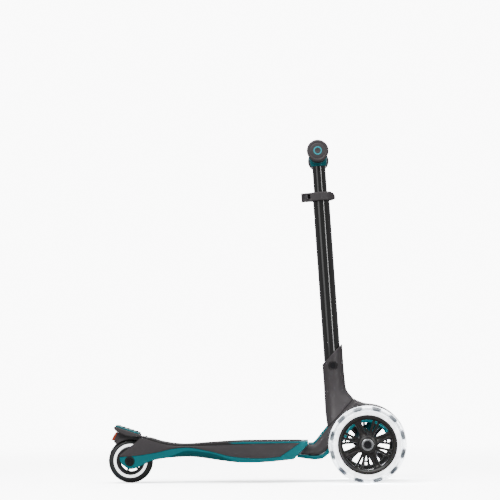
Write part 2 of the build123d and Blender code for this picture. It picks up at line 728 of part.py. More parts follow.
def neck_roof(drop, radius):
    """The neck's top, the seam under the stem base and the hood down to its front edge."""
    slope = Polyline((deck_reach + neck_face, deck_top - 7 - drop), (deck_reach + 11, deck_top - 7 - drop),
                     (deck_reach + 15, deck_top - 3.4 - drop * 1.2),
                     (seam_low[0] + drop * 0.7, seam_low[1] - drop * 0.7),
                     (seam_high[0] + drop * 0.7, seam_high[1] - drop * 0.7))
    fall = Spline(slope @ 1, (wheelbase - 12, hood_top + 4.3 - drop), about_axle(radius, 88),
                  tangents=[(1, -0.62), (1, 0.0)])
    return slope, [fall, arch(radius, 88, hood_front_angle)]


def front_region(floor_raise, floor_radius, roof_drop, roof_radius):
    """The closed side face between a neck floor and a neck roof."""
    low = neck_floor(floor_raise, floor_radius)
    slope, high = neck_roof(roof_drop, roof_radius)
    back = Line(low[0] @ 0, slope @ 0)
    front = Line(low[1] @ 1, high[1] @ 1)
    return make_face(low + high + [back, front] + slope.edges())


def make_hood_cover():
    """Charcoal shell over the neck and the wheel arch, open underneath."""
    outer = side_solid(front_region(4.2, arch_outer + 0.4, 0, hood_radius), -90, 90) & front_prism(0)
    inner_face = front_region(-6, arch_rise - 6, hood_wall, hood_radius - hood_wall)
    inner = side_solid(inner_face, -90, 90) & front_prism(hood_wall)
    opening = block(deck_reach - 60, deck_reach + 5, neck_half_width - hood_wall, rail_bottom - 10, rail_top + 0.6)
    return outer - inner - opening - base_screw_shanks(assembly_fit + 0.6)


def make_neck_core():
    """Teal structural moulding: the neck's floor, the wheel arch, the rail socket and the kingpin boss."""
    floor_region = side_solid(strip_region(), -90, 90) & front_prism(0)
    arch_pocket = side_solid(make_face([arch(arch_rise - 8, 170, 0), arch(arch_rise + 5, 170, 0),
                                        Line(about_axle(arch_rise - 8, 170), about_axle(arch_rise + 5, 170)),
                                        Line(about_axle(arch_rise - 8, 0), about_axle(arch_rise + 5, 0))]),
                             -90, 90) & front_prism(4)
    inner_face = front_region(-6, arch_rise - 6, hood_wall + face_gap, hood_radius - hood_wall - face_gap)
    socket_zone = block(deck_reach - 60, wheelbase - 44, 90, 0, front_radius + 160)
    socket = side_solid(inner_face, -90, 90) & front_prism(hood_wall + face_gap) & socket_zone
    socket = socket - rod(wheelbase, front_radius, arch_outer - 1, -90, 90)
    under = side_solid(front_region(0, arch_rise, hood_wall + face_gap, hood_radius - hood_wall - face_gap),
                       -90, 90)
    socket = socket & under
    boss = pillar(kingpin, bushing_dia / 2, hanger_boss_length / 2 + upper_bushing + 0.1, kingpin_top() + 3.4)
    core = floor_region - arch_pocket + socket + boss
    core = core - block(deck_reach - 90, rail_end + 0.1, rail_width / 2 + assembly_fit,
                        rail_bottom - assembly_fit, rail_top + assembly_fit)
    core = core - base_screw_shanks(assembly_fit)
    return core - pillar(kingpin, kingpin_dia / 2 + assembly_fit, -60, 80)


def strip_region():
    """The band between the neck's underside and the hood cover's lower edge."""
    low = neck_floor(0, arch_rise)
    high = neck_floor(4.0, arch_outer)
    back = Line(low[0] @ 0, high[0] @ 0)
    front = Line(low[1] @ 1, high[1] @ 1)
    return make_face(low + high + [back, front])


def make_slide_rail():
    """Extruded box rail fixed in the neck, with a slot for the button's tongue and three notches."""
    body = block(rail_start, rail_end, rail_width / 2, rail_bottom, rail_top)
    body = fillet(body.edges().filter_by(Axis.X), 2)
    hollow = block(rail_start - 1, rail_end + 1, rail_width / 2 - rail_wall, rail_bottom + rail_wall,
                   rail_top - rail_wall)
    half = tongue_dia / 2 + 0.5
    slot = block(button_x - extension - half, button_x + half, half, rail_bottom - 1, rail_bottom + rail_wall + 1)
    body = body - hollow - slot
    for step in range(3):
        notch = pillar(Plane.XY, half + 1.6, rail_bottom - 1, rail_bottom + rail_wall + 1,
                       x=button_x - extension * step / 2)
        body = body - notch
    return body


# ---- stem ----------------------------------------------------------------------------------------------
base_drop = (handle_height - base_bolt_z) / lean_cos


def stem_x(z):
    """Where the stem's axis is at a height."""
    return handle_x + (handle_height - z) * lean_sin / lean_cos


def stem_cavity():
    """The room for the foot of the outer tube."""
    return pillar(stem, outer_radius + assembly_fit, -(handle_height - tube_foot_z) / lean_cos, 0)


def base_screw_shanks(fit):
    """Four screws up through the seam into the stem base, made larger by fit for their holes."""
    middle_x = (seam_low[0] + seam_high[0]) / 2
    middle_z = (seam_low[1] + seam_high[1]) / 2
    seam_angle = 90 - 47.3
    shanks = []
    for along in (-22, 12):
        for y in (-17, 17):
            place = Pos(middle_x, y, middle_z) * Rot(0, -seam_angle, 0) * Pos(-2, 0, 0)
            place = Pos(along * king_sin, 0, along * king_cos * 1.06) * place
            shanks.append(place * Cylinder(2.2 + fit, 20))
    return shanks[0] + shanks[1:]


def make_base_screws():
    """The four screws that hold the stem base on the neck."""
    return list(base_screw_shanks(0).solids())


def make_stem_base():
    """Charcoal socket for the stem: round above, flaring into the hood below, cut on a slant at its top."""
    base_top = (handle_height - base_bolt_z - base_cut_rise) / lean_cos
    barrel = pillar(stem, base_radius, -base_drop - 60, -base_top)
    cut_low = base_bolt_z + 2.1
    cut_high = base_bolt_z + base_cut_rise - 1.5
    back = stem_x(base_bolt_z) - base_radius
    front = stem_x(base_bolt_z) + base_radius
    slant = polygon((back, cut_low), (front - 2.6, cut_high), (front + 12, cut_high), (front + 12, 60),
                    (back - 50, 60), (back - 50, cut_low))
    barrel = barrel & side_solid(slant, -70, 70)
    foot_top = hood_top + 30
    neck_z = hood_top + 25.5
    foot_side = polygon((seam_low[0] - 0.4, seam_low[1] + 0.4), (stem_x(hood_top) - base_radius, hood_top - 14),
                        (stem_x(hood_top) - base_radius, hood_top + 12), (stem_x(neck_z) - base_radius, neck_z),
                        (stem_x(foot_top) - base_radius, foot_top), (stem_x(foot_top) + base_radius, foot_top),
                        (stem_x(neck_z) + base_radius + 2.3, neck_z), (seam_high[0] - 6.5, seam_high[1] + 8.1),
                        (seam_high[0] - 0.3, seam_high[1] + 0.4))
    half = base_radius
    flare = hood_half_width - 14
    foot_front = make_face(Polyline((-flare, seam_low[1] - 10), (-flare, seam_low[1]), (-half - 8, hood_top - 8),
                                    (-half, hood_top + 24), (-half, hood_top + 36), (half, hood_top + 36),
                                    (half, hood_top + 24), (half + 8, hood_top - 8), (flare, seam_low[1]),
                                    (flare, seam_low[1] - 10), close=True))
    front_view = extrude(Plane.YZ.offset(wheelbase - 140) * foot_front, amount=180)
    foot = side_solid(foot_side, -70, 70) & front_view
    base = barrel + foot
    base = base - stem_cavity()
    bolt_hole = side_solid(Pos(base_bolt_x, base_bolt_z) * Circle(base_bolt_dia / 2 + assembly_fit), -60, 60)
    head_room = both_sides(Pos(base_bolt_x, base_bolt_z) * Circle(7.7), base_radius - 3.5, base_radius + 9)
    return base - bolt_hole - head_room - base_screw_shanks(assembly_fit)


base_bolt_x = stem_x(base_bolt_z)


def make_base_bolt():
    """Cross bolt that holds the outer tube in the stem base."""
    shank = rod(base_bolt_x, base_bolt_z, base_bolt_dia / 2, -base_radius + 3.4, base_radius - 0.5)
    head = rod(base_bolt_x, base_bolt_z, 5, -base_radius - 0.4, -base_radius + 3.4)
    socket = side_solid(Pos(base_bolt_x, base_bolt_z) * RegularPolygon(2.3, 6), -base_radius - 2,
                        -base_radius + 1.6)
    return shank + head - socket


def make_base_nut():
    """Barrel nut on the far end of the cross bolt."""
    nut = rod(base_bolt_x, base_bolt_z, 5.4, base_radius - 3.4, base_radius - 0.2)
    return nut - rod(base_bolt_x, base_bolt_z, base_bolt_dia / 2, -60, 60)


def make_outer_tube():
    """Black steel tube, slotted at its top for the clamp, with the height button's hole in its back."""
    foot = (handle_height - tube_foot_z) / lean_cos - 0.2
    bore = outer_radius - tube_wall
    body = pillar(stem, outer_radius, -foot, -tube_top_drop) - pillar(stem, bore, -foot - 1, 0)
    slot = stem * Pos(-outer_radius, 0, -tube_top_drop - 10) * Box(12, clamp_slot, 20.2)
    hole = stem * Pos(-outer_radius, 0, raise_travel - snap_drop) * Rot(0, 90, 0) * Cylinder(snap_dia / 2 + 0.6, 12)
    cross = rod(base_bolt_x, base_bolt_z, base_bolt_dia / 2 + assembly_fit, -60, 60)
    return body - slot - hole - cross


def make_tube_bush():
    """Plastic bush between the two tubes, with a keyway for the height button."""
    bore = outer_radius - tube_wall
    sleeve = pillar(stem, bore - 0.05, -tube_top_drop - 38, -tube_top_drop + 1.3)
    flange = pillar(stem, outer_radius, -tube_top_drop + 0.1, -tube_top_drop + 1.4)
    body = sleeve + flange - pillar(stem, inner_radius + running_fit, -300, 0)
    keyway = stem * Pos(-outer_radius, 0, -tube_top_drop - 20) * Box(12, snap_dia + 1.2, 60)
    return body - keyway


def make_clamp_collar():
    """Split collar round the top of the outer tube with two ears at its back."""
    low = -clamp_drop - clamp_height
    ring = pillar(stem, outer_radius + clamp_wall, low, -clamp_drop)
    ear = stem * Pos(-outer_radius - 10, 0, low + clamp_height / 2) * Box(24, 17, clamp_height)
    nose = stem * Pos(outer_radius + 3, 0, low + clamp_height / 2) * Box(10, 26, clamp_height)
    body = ring + ear + nose
    body = body - pillar(stem, outer_radius + assembly_fit, low - 1, -clamp_drop - 2.0)
    body = body - pillar(stem, inner_radius + 0.9, low - 1, 0)
    slit = stem * Pos(-outer_radius - 14, 0, low + clamp_height / 2) * Box(40, clamp_slot, clamp_height + 2)
    bolt_hole = stem * Pos(-lever_pivot_back, 0, low + clamp_height / 2) * Rot(90, 0, 0) * Cylinder(2.6, 60)
    key = stem * Pos(-outer_radius, 0, low + clamp_height / 2) * Box(12, snap_dia + 1.2, clamp_height + 9)
    return body - slit - bolt_hole - key


def make_clamp_bolt():
    """Cross bolt through the ears with an eye that holds the lever's pin."""
    level = -clamp_drop - clamp_height / 2
    shank = stem * Pos(-lever_pivot_back, -4, level) * Rot(90, 0, 0) * Cylinder(2.5, 27)
    nut = stem * Pos(-lever_pivot_back, 10.7, level) * Rot(90, 0, 0) * Cylinder(5, 4)
    eye = pillar(stem, 5, level - 3.8, level + 3.8, -lever_pivot_back, -lever_pivot_side)
    pin_hole = pillar(stem, 2.5, -120, 0, -lever_pivot_back, -lever_pivot_side)
    return shank + nut + eye - pin_hole


def make_lever_pin():
    """Barrel pin in the bolt's eye, parallel to the stem."""
    return pillar(stem, 2.45, -clamp_drop - clamp_height + 1, -clamp_drop - 1, -lever_pivot_back, -lever_pivot_side)


def make_clamp_lever():
    """Quick-release lever: it wraps the right side of the collar and its tip points forward."""
    low = -clamp_drop - clamp_height
    level = low + clamp_height / 2
    reach = outer_radius + clamp_wall
    arm = make_face([Line((-lever_pivot_back, -lever_pivot_side - 7), (-12, -reach - 6.5)),
                     Spline((-12, -reach - 6.5), (8, -reach - 6.3), (lever_reach, -12), tangents=[(1, -0.15), (0.3, 1)]),
                     Line((lever_reach, -12), (reach - 0.5, -8)), Line((reach - 0.5, -8), (0, -lever_pivot_side)),
                     Line((0, -lever_pivot_side), (-lever_pivot_back, -lever_pivot_side)),
                     Line((-lever_pivot_back, -lever_pivot_side), (-lever_pivot_back, -lever_pivot_side - 7))])
    body = stem * Pos(0, 0, low) * extrude(arm, amount=clamp_height)
    body = body - pillar(stem, reach + 0.8, low - 1, 0)
    body = body - stem * Pos(reach, 0, level) * Box(12, 28, clamp_height + 2)
    boss = pillar(stem, 7, low, -clamp_drop, -lever_pivot_back, -lever_pivot_side)
    window = pillar(stem, 8.4, level - 4.1, level + 4.1, -lever_pivot_back, -lever_pivot_side)
    pin_hole = pillar(stem, 2.5, -120, 0, -lever_pivot_back, -lever_pivot_side)
    return body + boss - window - pin_hole


# ---- handlebar -----------------------------------------------------------------------------------------
def make_inner_tube():
    """Black steel tube that slides in the outer one and carries the handlebar."""
    top = -bar_tube_dia / 2 - 0.3
    foot = -snap_drop - 22
    body = pillar(stem, inner_radius, foot, top) - pillar(stem, inner_radius - tube_wall, foot - 1, 0)
    hole = stem * Pos(-inner_radius, 0, -snap_drop) * Rot(0, 90, 0) * Cylinder(snap_dia / 2 + running_fit, 12)
    return body - hole


def make_tube_slider():
    """Plastic ring at the foot of the inner tube that keeps it centred in the outer one."""
    foot = -snap_drop - 22
    body = pillar(stem, outer_radius - tube_wall - running_fit, foot, foot + 12)
    return body - pillar(stem, inner_radius, foot - 1, foot + 13)


def make_height_button():
    """Domed snap button at the back of the inner tube, held in by the outer tube's wall."""
    out = outer_radius - tube_wall - 1.0
    body = stem * Pos(-out / 2 - 3, 0, -snap_drop) * Rot(0, 90, 0) * Cylinder(snap_dia / 2, out - 6)
    head = stem * Pos(-inner_radius + tube_wall + 1.8, 0, -snap_drop) * Rot(0, 90, 0) * Cylinder(5, 1.2)
    return body + head


def make_leaf_spring():
    """Bent strip inside the inner tube that pushes the height button out."""
    half = 3.0
    path = polygon((-4.0, -snap_drop - 6), (-3.6, -snap_drop + 8), (8.6, -snap_drop + 22), (9.6, -snap_drop + 21),
                   (-2.8, -snap_drop + 7.4), (-3.2, -snap_drop - 6))
    strip = extrude(stem.location * Plane.XZ.location * path, amount=half, both=True)
    return strip


def make_t_joint():
    """Teal T-joint over the end of the inner tube and the middle of the handlebar tube."""
    body = rod(handle_x, handle_height, joint_dia / 2, -joint_half_width, joint_half_width)
    body = fillet(body.edges(), 2)
    neck = pillar(stem, inner_radius + 3.4, -joint_dia / 2 - 1.5, 0)
    body = body + neck - rod(handle_x, handle_height, bar_tube_dia / 2 + 0.02, -60, 60)
    return body - pillar(stem, inner_radius, -60, -bar_tube_dia / 2 + 0.5)


def make_handlebar_tube():
    """Steel tube across the top of the stem."""
    half = bar_half_width - cap_length
    return tube(handle_x, handle_height, bar_tube_dia / 2, bar_tube_dia / 2 - tube_wall, -half, half)


def make_grip():
    """Ribbed rubber grip on one half of the handlebar tube."""
    low = joint_half_width + 0.3
    high = bar_half_width - cap_length - 0.1
    body = rod(handle_x, handle_height, grip_dia / 2, low, high)
    body = body + rod(handle_x, handle_height, grip_dia / 2 + 1.6, low, low + 4)
    count = 8
    pitch = (high - low - 14) / count
    for index in range(count):
        middle = low + 9 + pitch * (index + 0.5)
        ring = tube(handle_x, handle_height, grip_dia, grip_dia / 2 - 0.9, middle - 1.2, middle + 1.2)
        body = body - ring
    return body - rod(handle_x, handle_height, bar_tube_dia / 2, low - 1, high + 1)


def make_grip_cap():
    """Round bumper cap on one end of the handlebar."""
    low = bar_half_width - cap_length
    body = rod(handle_x, handle_height, cap_dia / 2, low, bar_half_width)
    body = fillet(body.edges(), 2.2)
    plug = rod(handle_x, handle_height, bar_tube_dia / 2 - tube_wall - 0.1, low - 14, low + 1)
    return body + plug


# ---- the whole scooter ---------------------------------------------------------------------------------
parts["deck_tray"] = make_deck_tray()
parts["side_panel_left"] = make_side_panel(1)
parts["side_panel_right"] = make_side_panel(-1)
parts["deck_mat"] = make_deck_mat()
parts["underside_cover"] = make_underside_cover()
parts["underside_screws"] = make_underside_screws()
parts["guide_blocks"] = make_guide_blocks()
parts["extension_button"] = make_extension_button()
parts["button_spring"] = make_button_spring()
parts["rear_axle_bolt"] = make_rear_axle_bolt()
parts["rear_axle_nut"] = make_rear_axle_nut()
parts["rear_axle_spacers"] = make_rear_spacers()
parts["brake_hinge_pin"] = make_hinge_pin()
parts["brake_spring"] = make_brake_spring()
parts["brake_pedal"] = make_brake_pedal()
parts["brake_foot_plate"] = make_brake_plate()
parts["brake_ribs"] = make_brake_ribs()
parts["brake_reflector"] = reflector_shape(0)
parts["brake_friction_plate"] = friction_shape(0)
make_rear_wheel()
make_front_wheel(1, "left")
make_front_wheel(-1, "right")
parts["truck_hanger"] = make_hanger()
parts["steering_bushings"] = make_steering_bushings()
parts["kingpin"] = make_kingpin()
parts["kingpin_nut"] = make_kingpin_nut()
parts["front_axle_bolts"] = make_wheel_bolts()
parts["magnet_spacers"] = make_magnet_spacers()
parts["slide_rail"] = make_slide_rail()
parts["neck_core"] = make_neck_core()
parts["hood_cover"] = make_hood_cover()
parts["stem_base"] = make_stem_base()
parts["stem_base_screws"] = make_base_screws()
parts["stem_base_bolt"] = make_base_bolt()
parts["stem_base_nut"] = make_base_nut()
parts["outer_tube"] = make_outer_tube()
parts["tube_bush"] = make_tube_bush()
parts["clamp_collar"] = make_clamp_collar()
parts["clamp_bolt"] = make_clamp_bolt()
parts["clamp_lever_pin"] = make_lever_pin()
parts["clamp_lever"] = make_clamp_lever()
parts["inner_tube"] = make_inner_tube()
parts["tube_slider"] = make_tube_slider()
parts["height_button"] = make_height_button()
parts["height_button_spring"] = make_leaf_spring()
parts["t_joint"] = make_t_joint()
parts["handlebar_tube"] = make_handlebar_tube()
parts["grip_left"] = make_grip()
parts["grip_right"] = mirror(parts["grip_left"], about=Plane.XZ)
parts["grip_cap_left"] = make_grip_cap()
parts["grip_cap_right"] = mirror(parts["grip_cap_left"], about=Plane.XZ)

os.makedirs("parts", exist_ok=True)
for name, shape in parts.items():
    solids = shape if isinstance(shape, list) else shape.solids()
    placed = Compound(children=[Pos(-centre_x, 0, 0) * solid for solid in solids])
    export_step(placed, f"parts/{name}.step")
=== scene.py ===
import bmesh
import bpy
import numpy as np
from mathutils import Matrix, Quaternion, Vector


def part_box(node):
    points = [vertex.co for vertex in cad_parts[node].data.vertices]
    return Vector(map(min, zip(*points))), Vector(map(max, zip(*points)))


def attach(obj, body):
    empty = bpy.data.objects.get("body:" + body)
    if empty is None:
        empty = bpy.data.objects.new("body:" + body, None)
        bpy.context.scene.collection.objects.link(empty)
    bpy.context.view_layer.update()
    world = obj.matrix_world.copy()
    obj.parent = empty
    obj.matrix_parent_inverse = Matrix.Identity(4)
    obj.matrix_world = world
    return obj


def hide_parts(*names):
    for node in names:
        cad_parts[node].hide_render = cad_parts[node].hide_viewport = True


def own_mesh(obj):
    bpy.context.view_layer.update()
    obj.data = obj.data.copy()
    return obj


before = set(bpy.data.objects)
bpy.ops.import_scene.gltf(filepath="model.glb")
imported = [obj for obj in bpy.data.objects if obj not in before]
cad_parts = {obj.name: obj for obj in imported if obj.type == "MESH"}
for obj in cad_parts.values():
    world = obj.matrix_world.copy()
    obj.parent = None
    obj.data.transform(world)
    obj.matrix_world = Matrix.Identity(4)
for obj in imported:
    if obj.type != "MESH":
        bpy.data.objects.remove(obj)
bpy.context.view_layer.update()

# ---- deck tray ----
# The load-bearing tray with the rear fork, injection moulded in teal glass-filled nylon.
# Its lower band and front collar come out flush with the charcoal side panels; the wheel slot,
# the channel of the slide rail and the hollow underneath are cut by the mould's cores.
rear_low, rear_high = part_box("rear_tyre")
rear_axle_x = (rear_low.x + rear_high.x) / 2


def metres(points):
    """Millimetres forward of the rear axle, to the left and above the floor, turned into metres:
    each number divided by a thousand, and the rear axle's place added to the first."""
    placed = np.array(points, float) / 1000
    placed[..., 0] += rear_axle_x
    return placed


def line_through(points, count=240):
    """A smooth line through points: on each span a cubic of the distance along it, whose slope at a
    point is that of the two neighbouring spans weighed by their lengths."""
    points = np.array(points, float)
    along = np.append(0, np.cumsum(np.linalg.norm(np.diff(points, axis=0), axis=1)))
    slopes = np.gradient(points, along, axis=0)
    at = np.linspace(0, along[-1], count)
    span = np.clip(np.searchsorted(along, at, "right") - 1, 0, len(along) - 2)
    size = (along[span + 1] - along[span])[:, None]
    part = (at - along[span])[:, None] / size
    left = (1 + 2 * part) * (1 - part) ** 2 * points[span] + part * (1 - part) ** 2 * size * slopes[span]
    right = part ** 2 * (3 - 2 * part) * points[span + 1] - part ** 2 * (1 - part) * size * slopes[span + 1]
    return left + right


def height(line, forward):
    """How high a line is at distances forward of the rear axle, read between its points."""
    return np.interp(forward, line[:, 0], line[:, 1])


def ease(value, start, end):
    """0 before start, 1 after end, and in between three times the square less twice the cube."""
    part = np.clip((value - start) / (end - start), 0, 1)
    return part * part * (3 - 2 * part)


def tube_skin(rings, loop=False):
    """A closed skin from a grid of points (ring, place on the ring, xyz): each ring is joined to the next,
    and the last to the first for a loop; otherwise one face closes each end."""
    count, around = rings.shape[:2]
    index = np.arange(count * around).reshape(count, around)
    after = np.roll(index, -1, axis=1)
    if loop:
        low, high, low_after, high_after = index, np.roll(index, -1, 0), after, np.roll(after, -1, 0)
    else:
        low, high, low_after, high_after = index[:-1], index[1:], after[:-1], after[1:]
    faces = np.stack([low, low_after, high_after, high], -1).reshape(-1, 4).tolist()
    if not loop:
        faces += [index[0][::-1].tolist(), index[-1].tolist()]
    return rings.reshape(-1, 3), faces


def build(name, skins, edge=0.0, sharp=32):
    """One mesh object from closed skins in millimetres. Points that meet are merged, faces are turned
    outwards, edges sharper than a limit are rounded by a bevel of width edge (millimetres)."""
    points, faces, start = [], [], 0
    for skin_points, skin_faces in skins:
        points.append(skin_points)
        faces += [[corner + start for corner in face] for face in skin_faces]
        start += len(skin_points)
    mesh = bpy.data.meshes.new(name)
    mesh.from_pydata(metres(np.concatenate(points)).tolist(), [], faces)
    work = bmesh.new()
    work.from_mesh(mesh)
    bmesh.ops.remove_doubles(work, verts=work.verts, dist=2e-6)
    bmesh.ops.dissolve_degenerate(work, edges=work.edges, dist=1e-6)
    bmesh.ops.recalc_face_normals(work, faces=work.faces)
    work.to_mesh(mesh)
    work.free()
    mesh.shade_smooth()
    mesh.set_sharp_from_angle(angle=np.radians(sharp))
    made = bpy.data.objects.new(name, mesh)
    bpy.context.scene.collection.objects.link(made)
    if edge:
        rounding = made.modifiers.new("edges", "BEVEL")
        rounding.width = edge / 1000
        rounding.segments = 2
        rounding.limit_method = "ANGLE"
        rounding.angle_limit = np.radians(sharp)
        weighing = made.modifiers.new("shading", "WEIGHTED_NORMAL")
        weighing.keep_sharp = False
    return made


def cut_out(made, *cores):
    """Takes the room of each core out of a piece, before its edges are rounded, and removes the core."""
    for core in cores:
        cut = made.modifiers.new("core", "BOOLEAN")
        cut.object = core
        cut.solver = "EXACT"
        made.modifiers.move(len(made.modifiers) - 1, 0)
        with bpy.context.temp_override(object=made, active_object=made, selected_objects=[made]):
            bpy.ops.object.modifier_apply(modifier=cut.name)
        bpy.data.meshes.remove(core.data)
    made.data.shade_smooth()
    made.data.set_sharp_from_angle(angle=np.radians(32))
    return made


def box_core(low, high):
    """A box between two corners in millimetres, as a skin of two rings."""
    (x0, y0, z0), (x1, y1, z1) = low, high
    ring = np.array([[0, y0, z0], [0, y1, z0], [0, y1, z1], [0, y0, z1]], float)
    rings = np.stack([ring, ring])
    rings[0, :, 0], rings[1, :, 0] = x0, x1
    return tube_skin(rings)


def finish_with(made, material, body, slot, *nodes):
    """Paints a piece, makes it ride on its body and stand for its CAD nodes."""
    made.data.materials.clear()
    made.data.materials.append(material)
    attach(made, body)
    if nodes:
        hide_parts(*nodes)
    return made


def start_material(name):
    """An empty material: its links, a function that adds a node with its settings, and its shader."""
    material = bpy.data.materials.new(name)
    material.use_nodes = True
    tree = material.node_tree

    def add(kind, inputs=(), **settings):
        made = tree.nodes.new("ShaderNode" + kind)
        for key, value in settings.items():
            setattr(made, key, value)
        for key, value in dict(inputs).items():
            if isinstance(value, bpy.types.NodeSocket):
                tree.links.new(value, made.inputs[key])
            else:
                made.inputs[key].default_value = value
        return made

    return material, add, tree.nodes["Principled BSDF"], tree.links


def ramp_between(add, value, low, high, dark=(0, 0, 0, 1), light=(1, 1, 1, 1)):
    """A colour that goes from dark to light, or from black to white, while value goes from low to high."""
    ramp = add("ValToRGB", {"Fac": value})
    ramp.color_ramp.elements[0].position, ramp.color_ramp.elements[0].color = low, dark
    ramp.color_ramp.elements[1].position, ramp.color_ramp.elements[1].color = high, light
    return ramp.outputs["Color"]


def surface(shader, links, colour, roughness, normal):
    """Joins a material's colour, roughness and raised normal to its shader."""
    links.new(colour, shader.inputs["Base Color"])
    links.new(roughness, shader.inputs["Roughness"])
    links.new(normal, shader.inputs["Normal"])


def moulded_plastic(name, colour, pale, gloss=0.42, grain=0.35, depth=0.035, scuff=0.5, coat=0.0, shine=0.4):
    """Spark-eroded moulded plastic. Colour: a slow noise between colour and pale. Surface: a fine noise of
    grain millimetres raised by depth millimetres. Long thin noise makes scuffs that are paler and duller,
    and convex edges are rubbed paler."""
    material, add, shader, links = start_material(name)
    place = add("TexCoord").outputs["Object"]
    cloud = add("TexNoise", {"Vector": place, "Scale": 22.0, "Detail": 5.0, "Roughness": 0.6})
    grains = add("TexNoise", {"Vector": place, "Scale": 1000 / grain, "Detail": 3.0, "Roughness": 0.7})
    stretch = add("Mapping", {"Vector": place, "Scale": (60.0, 90.0, 900.0), "Rotation": (0.2, 0.5, 0.3)})
    streaks = add("TexNoise", {"Vector": stretch.outputs[0], "Scale": 1.0, "Detail": 4.0, "Distortion": 0.4})
    rubbed = ramp_between(add, streaks.outputs["Fac"], 0.66, 0.76)
    patches = ramp_between(add, cloud.outputs["Fac"], 0.45, 0.68)
    wear = add("Math", {0: rubbed, 1: patches}, operation="MULTIPLY")
    convex = add("NewGeometry").outputs["Pointiness"]
    edges = ramp_between(add, convex, 0.51, 0.58)
    worn = add("Math", {0: wear.outputs[0], 1: edges}, operation="MAXIMUM")
    amount = add("Math", {0: worn.outputs[0], 1: scuff}, operation="MULTIPLY")
    mottle = add("Mix", {"Factor": cloud.outputs["Fac"], "A": colour, "B": pale}, data_type="RGBA")
    lighter = tuple(min(1.0, c * 1.5 + 0.004) for c in pale[:3]) + (1,)
    painted = add("Mix", {"Factor": amount.outputs[0], "A": mottle.outputs["Result"], "B": lighter},
                  data_type="RGBA")
    dull = add("MapRange", {"Value": grains.outputs["Fac"], "To Min": gloss - 0.07, "To Max": gloss + 0.09})
    duller = add("Math", {0: dull.outputs[0], 1: amount.outputs[0]}, operation="MAXIMUM")
    raised = add("Bump", {"Height": grains.outputs["Fac"], "Strength": 0.55, "Distance": depth / 1000})
    sink = add("Bump", {"Height": cloud.outputs["Fac"], "Strength": 0.25, "Distance": 0.0006,
                        "Normal": raised.outputs[0]})
    surface(shader, links, painted.outputs["Result"], duller.outputs[0], sink.outputs[0])
    shader.inputs["Specular IOR Level"].default_value = shine
    shader.inputs["Coat Weight"].default_value = coat
    shader.inputs["Coat Roughness"].default_value = 0.25
    return material


teal_plastic = moulded_plastic("teal moulded nylon", (0.0008, 0.106, 0.122, 1), (0.0015, 0.142, 0.163, 1),
                               0.4, scuff=0.3, shine=0.2)
charcoal_plastic = moulded_plastic("charcoal moulded nylon", (0.044, 0.0396, 0.042, 1),
                                   (0.063, 0.0568, 0.0597, 1), 0.46, scuff=0.4, shine=0.35)
black_plastic = moulded_plastic("black moulded nylon", (0.011, 0.0108, 0.011, 1), (0.019, 0.0182, 0.018, 1),
                                0.38, scuff=0.3)

deck_top_z = 78.6
flat_from, deck_front = 216.0, 337.6
deck_top_line = line_through([(18, 86.5), (35, 85.9), (57, 79.4), (94, 73.6), (145, 75.4), (180, 77.3),
                              (flat_from, deck_top_z), (250, deck_top_z), (300, deck_top_z),
                              (345, deck_top_z)])
two_colour_line = line_through([(-20, 49.5), (-18.4, 49.7), (17.6, 52.8), (51.6, 58.2), (85.6, 65.4),
                                (108, 67.1),
                                (150, 60.5), (198.6, 49.2), (228.8, 46.6), (266.6, 47), (286.1, 49.1)])
two_colour_line = np.concatenate([two_colour_line, [(325, 75.2), (326, 77.6), (340, 77.8)]])
underside_line = line_through([(-19.2, 48.5), (-17.6, 41), (-12.9, 35.1), (1, 27.5), (18, 31.9), (40, 42.2),
                               (60, 46.7), (84, 48.8), (112, 49.8), (171.6, 42.9), (202.6, 39.4),
                               (232.6, 38.6), (292.6, 42.4), (311.3, 44.2)])
underside_line = np.concatenate([underside_line, [(deck_front, 71.2)]])
deck_half_line = line_through([(20, 34), (74, 37), (108, 41), (199.6, 55), (247.6, 57.5), (292.6, 56),
                               (deck_front, 50)])
fork_half = 34.0
both_sides = ((1, "left"), (-1, "right"))
panel_wall = 2.8


def deck_half(forward):
    """Half the deck's width: even along the fork, then a smooth line out to the foot area."""
    return np.where(forward < 20, fork_half, height(deck_half_line, forward))


def deck_bed(forward):
    """The bed that the mat lies on, 3 mm under the deck's top, and the slanting rear edge of the fork."""
    slant = np.interp(forward, [-19.2, -16, 19], [48.9, 54.5, 83.5])
    return np.where(forward < 19, slant, height(deck_top_line, forward) - 3)


def rings_across(forward, corners):
    """Closed rings, one at each distance forward, through corners given as (left, up) pairs of lines."""
    return np.stack([np.stack([forward, y, z], -1) for y, z in corners], 1)


def cut_back(forward):
    """How far the tray's flat bottom is cut back from its sides: 15 mm under the waist, 1.2 elsewhere."""
    return 15.0 * ease(forward, 66, 112) * (1 - ease(forward, 150, 214)) + 1.2


def cover_rings(forward, gap, depth):
    """A flat plate just inside the tray's bottom, larger by gap all round and depth mm further down."""
    half = np.minimum(45.7, deck_half(forward) - cut_back(forward) - 0.8) + gap
    low = height(underside_line, forward) + 0.2
    corners = [(-half, low - depth), (half, low - depth), (half, low + 2.4 + gap), (-half, low + 2.4 + gap)]
    return rings_across(forward, corners)


